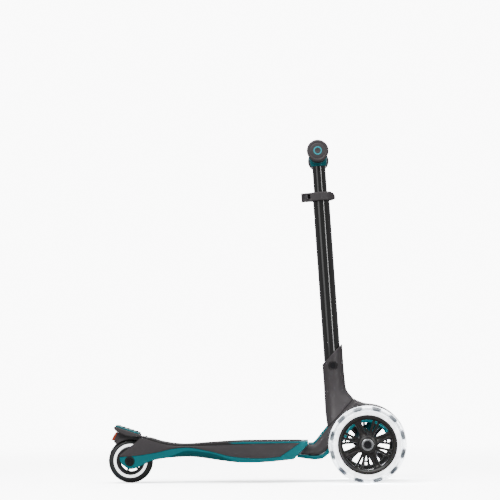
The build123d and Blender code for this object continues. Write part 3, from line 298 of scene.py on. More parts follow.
def tray_rings(forward):
    """The tray's section at each distance: flat bottom, a corner cut back under the waist, the teal side up
    to the colour line, a step in for the panel, and from the middle on a lip round the mat's bed."""
    half = deck_half(forward)
    bottom = height(underside_line, forward)
    colour = np.maximum(height(two_colour_line, forward), bottom + 0.5)
    bed = np.maximum(deck_bed(forward), colour + 0.3)
    back = cut_back(forward)
    rise = 0.7 * back + 0.4
    lip = panel_wall * ease(forward, 184, 206)
    lip_low = np.maximum(np.interp(forward, [187, 325, 326], [74.2, 75.2, 77.0]), colour)
    lip_low = np.where(forward < 186, bed - 0.4, np.minimum(lip_low, bed + 1.4))
    lip_top = np.where(forward < 186, bed - 0.2, np.interp(forward, [187, 216], [76.4, 77.8]))
    lip_top = np.maximum(lip_top, lip_low + 0.1)
    inside = half - panel_wall
    side = [(half - back, bottom), (half - back * 0.45, bottom + rise * 0.36), (half, bottom + rise),
            (half, colour), (inside, colour + 0.05), (inside, lip_low), (inside + lip, lip_low + 0.05),
            (inside + lip, lip_top), (inside - 0.4, lip_top), (inside - 0.5, bed)]
    right = rings_across(forward, [(-y, z) for y, z in side])
    left = right[:, ::-1] * [1, -1, 1]
    return np.concatenate([right, left], 1)


along_deck = np.concatenate([np.linspace(-19.1, -12, 10), np.linspace(-11, 286, 150),
                             np.linspace(287, deck_front, 40)])
tray = build("deck_tray", [tube_skin(tray_rings(along_deck))], edge=0.7)
slot_turn = np.radians(np.linspace(-140, 72, 60))
slot_side = np.stack([46.5 * np.cos(slot_turn), 42.5 + 46.5 * np.sin(slot_turn)], -1)
slot_side = np.concatenate([slot_side, [(28, 88), (28, 120), (-60, 120), (-60, 0)]])
slot_rings = np.zeros((2, len(slot_side), 3))
slot_rings[..., 0], slot_rings[..., 2] = slot_side[:, 0], slot_side[:, 1]
slot_rings[0, :, 1], slot_rings[1, :, 1] = -15, 15
cut_out(tray, build("slot core", [tube_skin(slot_rings)]),
        build("hollow core", [box_core((150, -29, 10), (297, 29, 71.4))]),
        build("channel core", [box_core((145, -36.4, 50.6), (350, 36.4, 68.9))]),
        build("cover core", [tube_skin(cover_rings(np.linspace(152, 295.6, 60), 0.3, 8))]))
finish_with(tray, teal_plastic, "deck", "teal_plastic", "deck_tray")

# ---- side panels ----
# Two charcoal nylon panels, clipped into the step along the tray's sides. Each runs from the point
# of the fork to the collar, follows the colour line below and the mat above, and bulges a little.
panel_top_line = line_through([(20, 86.0), (26, 85.9), (31, 84.6), (41, 81.1), (52, 77.6), (64, 74.4),
                               (79.5, 71.6),
                               (98.7, 70.3), (118, 70.1), (137, 70.5), (157, 71.0), (176, 71.5), (195, 72.2),
                               (216, 73.0), (250, 73.7), (325, 74.7)])


def panel_top(forward):
    """The panel's upper edge: straight up the fork, then the smooth line along the deck."""
    fork = np.interp(forward, [-18.2, 20.5], [54.0, 85.7])
    return np.where(forward < 20.5, fork, height(panel_top_line, forward))


def panel_rings(forward, side):
    """A closed strip at each distance: outer face bowed out by 0.35 mm at mid height, 2.6 mm thick."""
    half = deck_half(forward)
    low = np.interp(forward, [285, 323.4], [49.6, 75.0])
    low = np.where(forward < 286, height(two_colour_line, forward) + 0.8, low)
    high = np.maximum(panel_top(forward), low + 0.25)
    rise = np.linspace(0, 1, 13)[None, :]
    bow = 0.35 * (1 - (2 * rise - 1) ** 2)
    outer_y = half[:, None] - 0.35 + bow
    z = low[:, None] + (high - low)[:, None] * rise
    inner_y = np.broadcast_to(half[:, None] - panel_wall + 0.15, z.shape)
    x = np.broadcast_to(forward[:, None], z.shape)
    outer = np.stack([x, outer_y * side, z], -1)
    inner = np.stack([x, inner_y * side, z], -1)[:, ::-1]
    return np.concatenate([outer, inner], 1)


along_panel = np.concatenate([np.linspace(-18, -10, 8), np.linspace(-9, 284, 150),
                              np.linspace(285.5, 323, 30)])
for side, where in both_sides:
    panel = build("side_panel_" + where, [tube_skin(panel_rings(along_panel, side))], edge=0.45)
    finish_with(panel, charcoal_plastic, "deck", "charcoal_plastic", "side_panel_" + where)

# ---- deck mat ----
# One soft mat moulded from black rubber and glued on the tray's bed; black strips like its edges turned down
# over the side panels fill the shaded gap along its sides as painted shade. Low studs cover the foot area,
# ribs run across the ramp in front of the brake.
def mat_rings(forward):
    """A closed section at each distance: flat underneath, a rounded border, and a top raised by studs
    (the product of two cosine waves, cut off at a level) or by ribs across the ramp."""
    half = deck_half(forward) - panel_wall - 0.5
    across = np.linspace(-1, 1, 181)[None, :]
    y = half[:, None] * across
    x = np.broadcast_to(forward[:, None], y.shape)
    top = np.broadcast_to(height(deck_top_line, forward)[:, None], y.shape)
    border = np.minimum(half[:, None] - np.abs(y), 40)
    ends = np.minimum(forward - 29.0, 323.6 - forward)[:, None]
    inner = ease(np.minimum(border, ends), 3.2, 4.4)
    wave = np.cos(2 * np.pi * x / 7.4) * np.cos(2 * np.pi * y / 7.4)
    studs = 0.62 * ease(np.abs(wave), 0.42, 0.62) * ease(x, 118, 128)
    ribs = 0.85 * ease(np.cos(2 * np.pi * (x - 31) / 9.2), 0.0, 0.5) * (1 - ease(x, 104, 116))
    roll = 1.3 * (1 - ease(np.minimum(border, ends), 0.0, 1.5)) ** 2
    z = top - 0.75 + inner * (studs + ribs) + 0.7 * (1 - inner) - roll
    upper = np.stack([x, y, z], -1)
    below = np.stack([x, y, np.broadcast_to(deck_bed(forward)[:, None] + 0.02, y.shape)], -1)[:, ::-1]
    return np.concatenate([upper, below[:, ::20]], 1)


def soft_rubber(name, colour, pale, roughness=0.72, grain=0.5):
    """Moulded rubber. Colour: a slow noise between colour and pale, which stands for
    dust. Surface: two noises of grain and a fifth of grain, added."""
    material, add, shader, links = start_material(name)
    place = add("TexCoord").outputs["Object"]
    cloud = add("TexNoise", {"Vector": place, "Scale": 40.0, "Detail": 6.0, "Roughness": 0.65})
    coarse = add("TexNoise", {"Vector": place, "Scale": 1000 / grain, "Detail": 2.0})
    fine = add("TexNoise", {"Vector": place, "Scale": 5000 / grain, "Detail": 2.0})
    both = add("Math", {0: coarse.outputs["Fac"], 1: fine.outputs["Fac"]}, operation="ADD")
    dust = ramp_between(add, cloud.outputs["Fac"], 0.5, 0.75)
    less = add("Math", {0: dust, 1: 0.5}, operation="MULTIPLY")
    mix = add("Mix", {"Factor": less.outputs[0], "A": colour, "B": pale}, data_type="RGBA")
    dull = add("MapRange", {"Value": cloud.outputs["Fac"], "To Min": roughness - 0.12,
                            "To Max": roughness + 0.12})
    bump = add("Bump", {"Height": both.outputs[0], "Strength": 0.6, "Distance": 0.00007})
    surface(shader, links, mix.outputs["Result"], dull.outputs[0], bump.outputs[0])
    shader.inputs["Specular IOR Level"].default_value = 0.35
    return material


def gap_shade_rings(forward, side):
    """A black strip at each distance, like the mat's edge turned down, put in the shaded gap along the deck's
    side as
    painted shade: from just over the side panel up to the mat's level, or to the tray's lip further on. On
    the ramp it is notched by the positive part of a cosine wave."""
    half = deck_half(forward)
    low = panel_top(forward) + 0.12
    lip_line = np.interp(forward, [187, 325], [74.1, 75.1])
    ramp = 1 - ease(forward, 74, 80)
    notch = ease(np.cos(2 * np.pi * (forward - 28) / 6.0), 0.0, 0.5) * ramp
    high = height(deck_top_line, forward) - 0.9 + 0.5 * notch + 2.4 * (1 - ease(forward, 28.5, 31.5))
    high = high + (np.minimum(lip_line, high) - high) * ease(forward, 183, 199)
    high = np.maximum(high, low + 0.2)
    out = half - 0.5 - 0.7 * (1 - notch) * ramp
    corners = [(half - panel_wall + 0.05, low), (out, low), (out, high - 0.15), (out - 0.25, high),
               (half - panel_wall + 0.05, high)]
    return rings_across(forward, [(y * side, z) for y, z in corners])


mat_rubber = soft_rubber("mat rubber", (0.016, 0.0155, 0.016, 1), (0.036, 0.034, 0.033, 1), 0.74)
# black strips between side panel and mat or lip: painted shade for the shaded gap there
for side, where in both_sides:
    gap_shade_strip = build("mat_gap_shade_" + where, [tube_skin(gap_shade_rings(np.linspace(24.8, 322.6, 596), side))],
                       sharp=50)
    finish_with(gap_shade_strip, mat_rubber, "deck", "mat_rubber")
along_mat = np.concatenate([np.linspace(27.6, 29.4, 5), np.linspace(30, 322, 420),
                            np.linspace(322.6, 324.2, 5)])
mat = build("deck_mat", [tube_skin(mat_rings(along_mat))], sharp=50)
finish_with(mat, mat_rubber, "deck", "mat_rubber", "deck_mat")

# ---- under the deck ----
# A closing plate with six screws, nylon guide blocks, a round push button with its coil spring, and the
# aluminium slide rail that lengthens the deck. Blocks, button and rail keep their machined CAD shapes.
def bare_metal(name, colour, roughness, brushed=0.0, spots=0.3):
    """Worked metal. Colour: a slow noise darkens it by up to 28 percent. Roughness: runs with a second noise
    from 0.08 under its value to 0.4 of spots over it. Where brushed is over 0 that noise is drawn out."""
    material, add, shader, links = start_material(name)
    place = add("TexCoord").outputs["Object"]
    cloud = add("TexNoise", {"Vector": place, "Scale": 60.0, "Detail": 5.0})
    lines = add("Mapping", {"Vector": place, "Scale": (300.0, 4000.0, 4000.0) if brushed else (900.0,) * 3})
    brush = add("TexNoise", {"Vector": lines.outputs[0], "Scale": 1.0, "Detail": 3.0})
    dark = tuple(c * 0.72 for c in colour[:3]) + (1,)
    mix = add("Mix", {"Factor": cloud.outputs["Fac"], "A": dark, "B": colour}, data_type="RGBA")
    rough = add("MapRange", {"Value": brush.outputs["Fac"], "To Min": roughness - 0.08,
                             "To Max": roughness + spots * 0.4})
    bump = add("Bump", {"Height": brush.outputs["Fac"], "Strength": 0.35, "Distance": 0.00003})
    surface(shader, links, mix.outputs["Result"], rough.outputs[0], bump.outputs[0])
    shader.inputs["Metallic"].default_value = 1.0
    return material


bright_steel = bare_metal("bright steel", (0.62, 0.63, 0.65, 1), 0.24, brushed=1.0)
cast_aluminium = bare_metal("cast aluminium", (0.56, 0.57, 0.58, 1), 0.46, spots=0.6)
black_bolt = bare_metal("black oxide bolt", (0.052, 0.052, 0.056, 1), 0.3, spots=0.5)


def repaint(material, *nodes):
    """Gives CAD nodes a material in every slot that they have."""
    for name in nodes:
        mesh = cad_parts[name].data
        for number in range(max(1, len(mesh.materials))):
            if number < len(mesh.materials):
                mesh.materials[number] = material
            else:
                mesh.materials.append(material)


def upright(profile, forward, left, points=40):
    """A closed profile of (radius, height) turned about a vertical line."""
    profile = np.array(profile, float)
    turn = np.linspace(0, 2 * np.pi, points, endpoint=False)[:, None]
    return tube_skin(np.stack([forward + profile[:, 0] * np.cos(turn), left + profile[:, 0] * np.sin(turn),
                               profile[:, 1] + 0 * turn], -1), loop=True)


button_low, button_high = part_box("extension_button")
button_u = ((button_low.x + button_high.x) / 2 - rear_axle_x) * 1000
cover = build("underside_cover", [tube_skin(cover_rings(np.linspace(152.3, 295.3, 90), 0.0, 0.0))], edge=0.5)
button_hole = upright([(0.0005, 30), (9.4, 30), (9.4, 50), (0.0005, 50)], button_u, 0, 64)
cut_out(cover, build("button core", [button_hole]))
finish_with(cover, black_plastic, "deck", "black_plastic", "underside_cover")
screw_skins = []
for screw_u in (179.6, 245.6, 287.6):
    level = height(underside_line, screw_u) + 0.2
    screw_y = min(41.0, deck_half(screw_u) - cut_back(screw_u) - 5.2)
    head = [(0.0005, 0.7), (1.5, 0.7), (1.6, -0.2), (2.6, -0.3), (3.4, 0.0), (3.6, 0.4), (3.6, 1.4),
            (0.0005, 1.4)]
    screw_skins += [upright([(r, level + z) for r, z in head], screw_u, side * screw_y) for side in (-1, 1)]
finish_with(build("underside_screws", screw_skins), bright_steel, "deck", "bright_steel", "underside_screws")
spring_low, spring_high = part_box("button_spring")
spring_z, spring_top = spring_low.z * 1000, spring_high.z * 1000
wire, coil = 0.45, np.linspace(0, 1, 220)[:, None]
wire_turn = np.linspace(0, 2 * np.pi, 10, endpoint=False)
coil_radius = (spring_high.y - spring_low.y) * 500 - wire - 0.1 + wire * np.cos(wire_turn)
coil_turn = 2 * np.pi * 4.5 * coil
coil_z = spring_z + wire + (spring_top - spring_z - 2 * wire) * coil + wire * np.sin(wire_turn)
spring = build("button_spring", [tube_skin(np.stack([button_u + coil_radius * np.cos(coil_turn),
                                                     coil_radius * np.sin(coil_turn), coil_z], -1))])
finish_with(spring, bright_steel, "deck", "bright_steel", "button_spring")
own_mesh(spring)
repaint(black_plastic, "guide_blocks", "extension_button")
repaint(cast_aluminium, "slide_rail")

# ---- rear wheel ----
# Cast black urethane tyre with a printed white ring, on a moulded rim with six spokes that turns on two
# ball bearings. The bolt, the cap nut and the spacers hold it in the fork.
axle_z = 42.5


def turned(profile, centre, segments=128):
    """A closed profile of (distance from the axle, place along the axle) turned about a line across the
    scooter through centre (forward, left, up)."""
    profile = np.array(profile, float)
    angle = np.linspace(0, 2 * np.pi, segments, endpoint=False)[:, None]
    radius, along = profile[None, :, 0], profile[None, :, 1]
    x = centre[0] + radius * np.cos(angle)
    z = centre[2] + radius * np.sin(angle)
    y = centre[1] + along + 0 * angle
    return tube_skin(np.stack([x, y, z], -1), loop=True)


def arc_rings(corners, angle, centre):
    """Closed rings along an arc about an axle through centre. A corner is a distance from the axle and a
    place along it."""
    return np.stack([np.stack([centre[0] + radius * np.cos(angle), centre[1] + along + 0 * angle,
                               centre[2] + radius * np.sin(angle)], -1) for radius, along in corners], 1)


def rounded(corners, radius=1.0, steps=4):
    """A closed profile with its corners cut by quarter-like arcs: each corner becomes the quadratic curve
    between points a radius away on its two sides, with the corner itself as the middle control point."""
    corners = np.array(corners, float)
    before, after = np.roll(corners, 1, 0) - corners, np.roll(corners, -1, 0) - corners
    near_before = np.linalg.norm(before, axis=1, keepdims=True)
    near_after = np.linalg.norm(after, axis=1, keepdims=True)
    cut = np.minimum(radius, 0.48 * np.minimum(near_before, near_after))
    first, last = corners + before / near_before * cut, corners + after / near_after * cut
    part = np.linspace(0, 1, steps)[None, :, None]
    arcs = ((1 - part) ** 2 * first[:, None] + 2 * part * (1 - part) * corners[:, None]
            + part ** 2 * last[:, None])
    return arcs.reshape(-1, 2)


def crowned_tyre(inner, outer, half, crown, bead=1.2):
    """A tyre's profile: flat bore, straight sidewalls with a small bead, and a tread that is half of a
    flattened circle (radius = side + crown times the root of one less the square of the share across)."""
    share = np.sin(np.linspace(-np.pi / 2, np.pi / 2, 29))
    tread = np.stack([outer - crown + crown * np.sqrt(np.maximum(0, 1 - share ** 2)), share * half], -1)
    sides = [(inner + bead, half), (inner, half - bead), (inner, bead - half), (inner + bead, -half)]
    return np.concatenate([tread, sides])


def spoke_skin(hub, ring, root, tip, thick_root, thick_tip, angle, centre, waist=0.78, groove=0.0):
    """A spoke as a closed section carried out from the hub. Half way its width is waist times as
    much, and it flares into the ring; its faces have a groove along the middle."""
    out = np.linspace(0, 1, 26)
    radius = hub + (ring - hub) * out
    width = (root * (1 - out) + tip * out) * (1 - (1 - waist) * np.sin(np.pi * out) ** 0.8)
    width = width + 0.55 * tip * ease(out, 0.74, 1.0) ** 2 + 0.3 * root * (1 - ease(out, 0, 0.22)) ** 2
    thick = thick_root * (1 - out) + thick_tip * out
    lane = np.sin(np.pi * np.clip(out * 1.25 - 0.1, 0, 1)) ** 0.5 * groove
    shape = [(-1, -0.62), (-0.8, -1), (-0.46, -1), (-0.3, -1, 1), (0.3, -1, 1), (0.46, -1), (0.8, -1),
             (1, -0.62),
             (1, 0.62), (0.8, 1), (0.46, 1), (0.3, 1, 1), (-0.3, 1, 1), (-0.46, 1), (-0.8, 1), (-1, 0.62)]
    side = np.array([s[0] for s in shape]) * width[:, None] / 2
    deep = np.array([s[1] for s in shape])
    sunk = np.array([len(s) == 3 for s in shape]) * lane[:, None]
    y = deep * (thick[:, None] / 2 - sunk)
    turn = np.radians(angle)
    along = np.broadcast_to(radius[:, None], side.shape)
    x = centre[0] + along * np.cos(turn) - side * np.sin(turn)
    z = centre[2] + along * np.sin(turn) + side * np.cos(turn)
    return tube_skin(np.stack([x, centre[1] + y, z], -1))


def printed_urethane(name, colour, ring_low, ring_high, centre):
    """Black urethane with a white printed ring: the distance from the axle, taken in the wheel's own plane,
    lies between two radii; a noise wears the print, which also glows, painted light that keeps
    it white, and a fine noise is raised."""
    material, add, shader, links = start_material(name)
    place = add("TexCoord").outputs["Object"]
    middle = metres(centre).tolist()
    from_axle = add("Mapping", {"Vector": place, "Location": tuple(-c for c in middle)}).outputs[0]
    flat = add("VectorMath", {0: from_axle, 1: (1.0, 0.0, 1.0)}, operation="MULTIPLY")
    radius = add("VectorMath", {0: flat.outputs[0]}, operation="LENGTH").outputs["Value"]
    inside = add("MapRange", {"Value": radius, "From Min": ring_low / 1000 - 1e-4,
                              "From Max": ring_low / 1000 + 1e-4})
    outside = add("MapRange", {"Value": radius, "From Min": ring_high / 1000 + 1e-4,
                               "From Max": ring_high / 1000 - 1e-4})
    band = add("Math", {0: inside.outputs[0], 1: outside.outputs[0]}, operation="MULTIPLY")
    worn = add("TexNoise", {"Vector": place, "Scale": 700.0, "Detail": 5.0})
    kept = ramp_between(add, worn.outputs["Fac"], 0.34, 0.42, (0.25, 0.25, 0.25, 1), (1, 1, 1, 1))
    print_on = add("Math", {0: band.outputs[0], 1: kept}, operation="MULTIPLY")
    cloud = add("TexNoise", {"Vector": place, "Scale": 90.0, "Detail": 6.0})
    dusty = ramp_between(add, cloud.outputs["Fac"], 0.35, 0.8, colour,
                         tuple(c * 2.1 for c in colour[:3]) + (1,))
    mix = add("Mix", {"Factor": print_on.outputs[0], "A": dusty, "B": (0.78, 0.78, 0.79, 1)},
              data_type="RGBA")
    rough = add("MapRange", {"Value": cloud.outputs["Fac"], "To Min": 0.36, "To Max": 0.58})
    fine = add("TexNoise", {"Vector": place, "Scale": 2600.0, "Detail": 2.0})
    bump = add("Bump", {"Height": fine.outputs["Fac"], "Strength": 0.4, "Distance": 0.00004})
    # painted light: the print's mask times 2.6 drives a glow that keeps the print white
    lit = add("Math", {0: print_on.outputs[0], 1: 2.6}, operation="MULTIPLY")
    surface(shader, links, mix.outputs["Result"], rough.outputs[0], bump.outputs[0])
    links.new(lit.outputs[0], shader.inputs["Emission Strength"])
    shader.inputs["Emission Color"].default_value = (1, 1, 1, 1)
    return material


rear_centre = (0.0, 0.0, axle_z)
rear_tyre = build("rear_tyre", [turned(crowned_tyre(26.75, 42.47, 12.0, 8.5), rear_centre, 160)], sharp=40)
finish_with(rear_tyre, printed_urethane("rear urethane", (0.014, 0.014, 0.0145, 1), 27.2, 32.0, rear_centre),
            "rear_wheel", "rear_tyre", "rear_tyre")
rim_ring = rounded([(26.7, -10.5), (26.7, 10.5), (24.8, 11.2), (20.4, 11.2), (20.4, -11.2), (24.8, -11.2)],
                   0.7)
rim_hub = rounded([(11.0, -12), (13.4, -12), (14.6, -10), (14.6, 10), (13.4, 12), (11.0, 12), (11.0, 5.2),
                   (8.5, 4.8), (8.5, -4.8), (11.0, -5.2)], 0.5)
rear_spokes = [spoke_skin(13.6, 21.2, 5.0, 4.4, 19, 17, 12 + 60 * k, rear_centre, groove=1.5)
               for k in range(6)]
rear_rim = build("rear_rim", [turned(rim_ring, rear_centre), turned(rim_hub, rear_centre, 96)] + rear_spokes,
                 edge=0.25)
finish_with(rear_rim, black_plastic, "rear_wheel", "black_plastic", "rear_rim")
repaint(bright_steel, "rear_bearings", "rear_axle_spacers")
repaint(black_bolt, "rear_axle_nut")
bolt_head = build("rear_axle_bolt_head", [turned(rounded([(3.1, -37.2), (5.4, -37.5), (6.9, -36.2),
                                                          (6.9, -34.0),
                                                            (3.1, -34.0)], 0.5), rear_centre, 64),
                                            turned([(0.02, -35.4), (3.3, -35.4), (3.3, -34.2), (0.02, -34.2)],
                                                   rear_centre, 6)])
finish_with(bolt_head, black_bolt, "deck", "black_bolt")
repaint(black_bolt, "rear_axle_bolt")
fork_boss = build("fork_boss", [turned(rounded([(7.3, -34.6), (9.3, -34.6), (9.3, -33.4), (7.3, -33.4)],
                                               0.35),
                                       rear_centre, 72)])
finish_with(fork_boss, black_plastic, "deck", "black_plastic")

# ---- brake ----
# Foot brake that turns on a steel pin across the fork: a charcoal nylon pedal with a skirt behind the tyre
# and a cheek along each side of it, a teal foot plate fixed on top with rubber ribs, and a red reflector.
hinge_u, hinge_z = 23.0, 84.5


def section_rings(floor_line, roof_line, half, corner, steps=5):
    """Closed rounded rectangles from a floor line to a roof line, one for each pair of their points
    (forward, up). Each is half wide either side; its corners are quarter circles of radius corner."""
    floor_line, roof_line = np.array(floor_line, float), np.array(roof_line, float)
    half = np.broadcast_to(np.asarray(half, float), (len(floor_line),))[:, None]
    tall = np.linalg.norm(roof_line - floor_line, axis=1)[:, None]
    radius = np.minimum(corner, np.minimum(tall, 2 * half) * 0.49)
    quarter = np.arange(4)[:, None]
    angle = (quarter * np.pi / 2 + np.linspace(0, np.pi / 2, steps)[None, :]).ravel()[None, :]
    sign_y = np.repeat([1, -1, -1, 1], steps)[None, :]
    sign_h = np.repeat([1, 1, -1, -1], steps)[None, :]
    y = sign_y * (half - radius) + radius * np.cos(angle)
    up = tall / 2 + sign_h * (tall / 2 - radius) + radius * np.sin(angle)
    share = (up / tall)[..., None]
    side = floor_line[:, None] * (1 - share) + roof_line[:, None] * share
    return np.stack([side[..., 0], y, side[..., 1]], -1)


def between(keys, count):
    """Pairs of lines through key pairs: each end of the pairs follows a smooth line through its keys."""
    keys = np.array(keys, float)
    at = np.linspace(0, len(keys) - 1, count)
    number = np.arange(len(keys))
    slopes = np.gradient(keys, number, axis=0)
    span = np.clip(at.astype(int), 0, len(keys) - 2)
    part = (at - span)[:, None, None]
    left = (1 + 2 * part) * (1 - part) ** 2 * keys[span] + part * (1 - part) ** 2 * slopes[span]
    right = part ** 2 * (3 - 2 * part) * keys[span + 1] - part ** 2 * (1 - part) * slopes[span + 1]
    both = left + right
    return both[:, 0], both[:, 1]


def pedal_top(forward):
    """The pedal's sloping top: falls forwards in a straight line towards the hinge."""
    return hinge_z + 6.3 + (hinge_u - np.asarray(forward, float)) * 0.3318


pedal_u = np.linspace(-30.4, 18.4, 40)
pedal_roof = np.stack([pedal_u, pedal_top(pedal_u) + 0.4 - 1.6 * (1 - ease(pedal_u, -31, -27))], -1)
pedal_under = np.interp(pedal_u, [-30.4, -26, -18, -8, 2, 12, 18.4],
                        [103.8, 98.8, 95.2, 91.2, 88.8, 87.6, 87.2])
pedal_wide = 28.8 - 3.2 * (1 - ease(pedal_u, -30.5, -24)) ** 2 - 2.0 * ease(pedal_u, 8, 18.4)
plate_shell = section_rings(np.stack([pedal_u, pedal_under], -1), pedal_roof, pedal_wide, 1.8)
tail_turn = np.radians(np.array([78, 86, 95, 104, 113, 121, 127, 132]))
tail_in = np.stack([46.3 * np.cos(tail_turn), axle_z + 46.3 * np.sin(tail_turn)], -1)
tail_out = np.array([(14, 92.5), (8, 92.5), (0, 93.5), (-9, 95), (-18.5, 98.5), (-24, 96.5), (-28.2, 87.0),
                     (-31.6, 79.6)])
skirt_shell = section_rings(tail_in, tail_out, 13.6, 1.6)
cheek_turn = np.radians(np.linspace(58, 131, 40))
cheek_over = 45.4 + 1.2 * ease(np.degrees(cheek_turn), 70, 78)
cheeks = [arc_rings([(40.6, s * 12.7), (cheek_over, s * 12.7), (cheek_over, s * 14.3), (40.6, s * 14.3)],
                    cheek_turn, rear_centre) for s in (1, -1)]
knuckle_shell = turned(rounded([(1.9, -13.6), (4.6, -13.6), (4.6, -5), (1.9, -5)], 0.6),
                       (hinge_u, 0, hinge_z), 40)
knuckle_far = turned(rounded([(1.9, 5), (4.6, 5), (4.6, 13.6), (1.9, 13.6)], 0.6), (hinge_u, 0, hinge_z), 40)
neck_in, neck_out = between([((12.2, 86.4), (11.0, 92.2)), ((16.5, 84.2), (16.5, 91.0)),
                             ((20.4, 83.6), (22.5, 88.3))], 10)
ears = [section_rings(neck_in, neck_out, 4.2, 1.0) + [0, y, 0] for y in (-9.4, 9.4)]
pedal = build("brake_pedal", [tube_skin(plate_shell), tube_skin(skirt_shell), knuckle_shell, knuckle_far]
              + [tube_skin(shell) for shell in ears + cheeks], edge=0.5)
finish_with(pedal, charcoal_plastic, "brake", "charcoal_plastic", "brake_pedal")
plate_u = np.linspace(-27.2, 17.2, 60)
plate_half = 27.3 - 2.4 * (1 - ease(plate_u, -27.4, -22)) ** 2 - 1.6 * ease(plate_u, 10, 17.4)
foot_plate = build("brake_foot_plate", [tube_skin(section_rings(
    np.stack([plate_u, pedal_top(plate_u) + 0.3], -1), np.stack([plate_u, pedal_top(plate_u) + 3.1], -1),
    plate_half, 1.0))], edge=0.5)
finish_with(foot_plate, teal_plastic, "brake", "teal_plastic", "brake_foot_plate")
rib_skins = []
for rib_u in (-21.5, -13.2, -4.9, 3.4, 11.7):
    across = np.linspace(-1, 1, 40)
    lie = np.stack([rib_u + 1.9 * (1 - across ** 2) - 0.6, across * 23.5, 0 * across], -1)
    round_turn = np.linspace(0, 2 * np.pi, 16, endpoint=False)
    ends = np.sqrt(np.maximum(0.02, 1 - np.abs(across) ** 10))[:, None]
    x = lie[:, :1] + 1.55 * ends * np.cos(round_turn)
    z = pedal_top(x) + 3.0 + 1.5 * ends * np.sin(round_turn)
    rib_skins.append(tube_skin(np.stack([x, np.broadcast_to(lie[:, 1:2], x.shape), z], -1)))
ribs = build("brake_ribs", rib_skins)
finish_with(ribs, mat_rubber, "brake", "mat_rubber", "brake_ribs")


def reflector_plastic(name, colour):
    """Clear red-orange lens over moulded cells: six-sided cells by a distance pattern are raised, and their
    colour darkens towards their edges as painted shade; a coat gives the hard gloss, and a faint glow stands
    for light sent back."""
    material, add, shader, links = start_material(name)
    place = add("TexCoord").outputs["Object"]
    cells = add("TexVoronoi", {"Vector": place, "Scale": 420.0, "Randomness": 0.1}, feature="F1")
    # painted shade: each cell's colour falls to 0.45 of itself towards its edges
    shade = ramp_between(add, cells.outputs["Distance"], 0.1, 0.7, colour,
                         tuple(c * 0.45 for c in colour[:3]) + (1,))
    bump = add("Bump", {"Height": cells.outputs["Distance"], "Strength": 0.6, "Distance": 0.0004})
    smear = add("TexNoise", {"Vector": place, "Scale": 160.0, "Detail": 4.0})
    rough = add("MapRange", {"Value": smear.outputs["Fac"], "To Min": 0.08, "To Max": 0.26})
    surface(shader, links, shade, rough.outputs[0], bump.outputs[0])
    shader.inputs["Coat Weight"].default_value = 0.6
    shader.inputs["Emission Color"].default_value = colour
    shader.inputs["Emission Strength"].default_value = 0.06
    return material


lens_in, lens_out = between([((-24.2, 95.2), (-27.8, 97.0)), ((-27.9, 88.2), (-32.4, 90.0)),
                             ((-31.4, 80.8), (-36.4, 81.8))], 20)
reflector = build("brake_reflector", [tube_skin(section_rings(lens_in, lens_out, 11.4, 0.8))], edge=0.4)
finish_with(reflector, reflector_plastic("reflector", (0.62, 0.085, 0.03, 1)), "brake", "reflector",
            "brake_reflector")
repaint(bright_steel, "brake_friction_plate", "brake_hinge_pin", "brake_spring")

# ---- steering truck ----
# Cast beam that carries the front axle and turns on a kingpin set at 45 degrees between two elastomer
# bushings, so the scooter steers when it is leaned. The two axle bolts screw into its ends.
repaint(cast_aluminium, "truck_hanger")
repaint(soft_rubber("bushing elastomer", (0.12, 0.12, 0.12, 1), (0.2, 0.2, 0.2, 1), 0.5), "steering_bushings")
repaint(black_bolt, "kingpin", "kingpin_nut", "front_axle_bolts")
repaint(bright_steel, "magnet_spacers")

# ---- front wheels ----
# Two clear cast urethane tyres on black moulded rims, each with a ring of lamps between tyre and rim
# that is lit by a magnet sleeve as the wheel turns. Two bearings and one bolt hold each wheel.
front_low, front_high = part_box("front_tyre_right")
front_u = ((front_low.x + front_high.x) / 2 - rear_axle_x) * 1000
front_z = (front_low.z + front_high.z) / 2 * 1000
wheel_y = -(front_low.y + front_high.y) / 2 * 1000


def clear_urethane(name):
    """Clear urethane: most light passes through it with a faint blue, it glows a little, painted light that
    whitens the tyre, a fine noise waves the surface, and a slow noise scuffs it duller."""
    material, add, shader, links = start_material(name)
    place = add("TexCoord").outputs["Object"]
    cloud = add("TexNoise", {"Vector": place, "Scale": 70.0, "Detail": 6.0, "Roughness": 0.6})
    wave = add("TexNoise", {"Vector": place, "Scale": 260.0, "Detail": 2.0})
    rough = add("MapRange", {"Value": cloud.outputs["Fac"], "To Min": 0.02, "To Max": 0.16})
    bump = add("Bump", {"Height": wave.outputs["Fac"], "Strength": 0.12, "Distance": 0.0005})
    tint = ramp_between(add, cloud.outputs["Fac"], 0.2, 0.9, (0.86, 0.89, 0.92, 1), (0.95, 0.96, 0.97, 1))
    surface(shader, links, tint, rough.outputs[0], bump.outputs[0])
    shader.inputs["Transmission Weight"].default_value = 0.86
    shader.inputs["IOR"].default_value = 1.48
    # painted light: the clear tyre glows white at strength 0.9
    shader.inputs["Emission Color"].default_value = (0.93, 0.96, 1.0, 1)
    shader.inputs["Emission Strength"].default_value = 0.9
    return material


def pocket_shade_urethane(name):
    """The moulded pockets in the clear tyre: grey-blue painted shade, darker in places by a slow noise,
    glossy.
    """
    material, add, shader, links = start_material(name)
    place = add("TexCoord").outputs["Object"]
    cloud = add("TexNoise", {"Vector": place, "Scale": 75.0, "Detail": 4.0, "Distortion": 0.6})
    # painted shade: the pockets' colour runs from dark to grey-blue by a slow noise
    shade = ramp_between(add, cloud.outputs["Fac"], 0.38, 0.66, (0.085, 0.1, 0.12, 1), (0.36, 0.4, 0.44, 1))
    rough = add("MapRange", {"Value": cloud.outputs["Fac"], "To Min": 0.06, "To Max": 0.22})
    bump = add("Bump", {"Height": cloud.outputs["Fac"], "Strength": 0.3, "Distance": 0.0004})
    surface(shader, links, shade, rough.outputs[0], bump.outputs[0])
    shader.inputs["Transmission Weight"].default_value = 0.1
    shader.inputs["Coat Weight"].default_value = 0.5
    return material


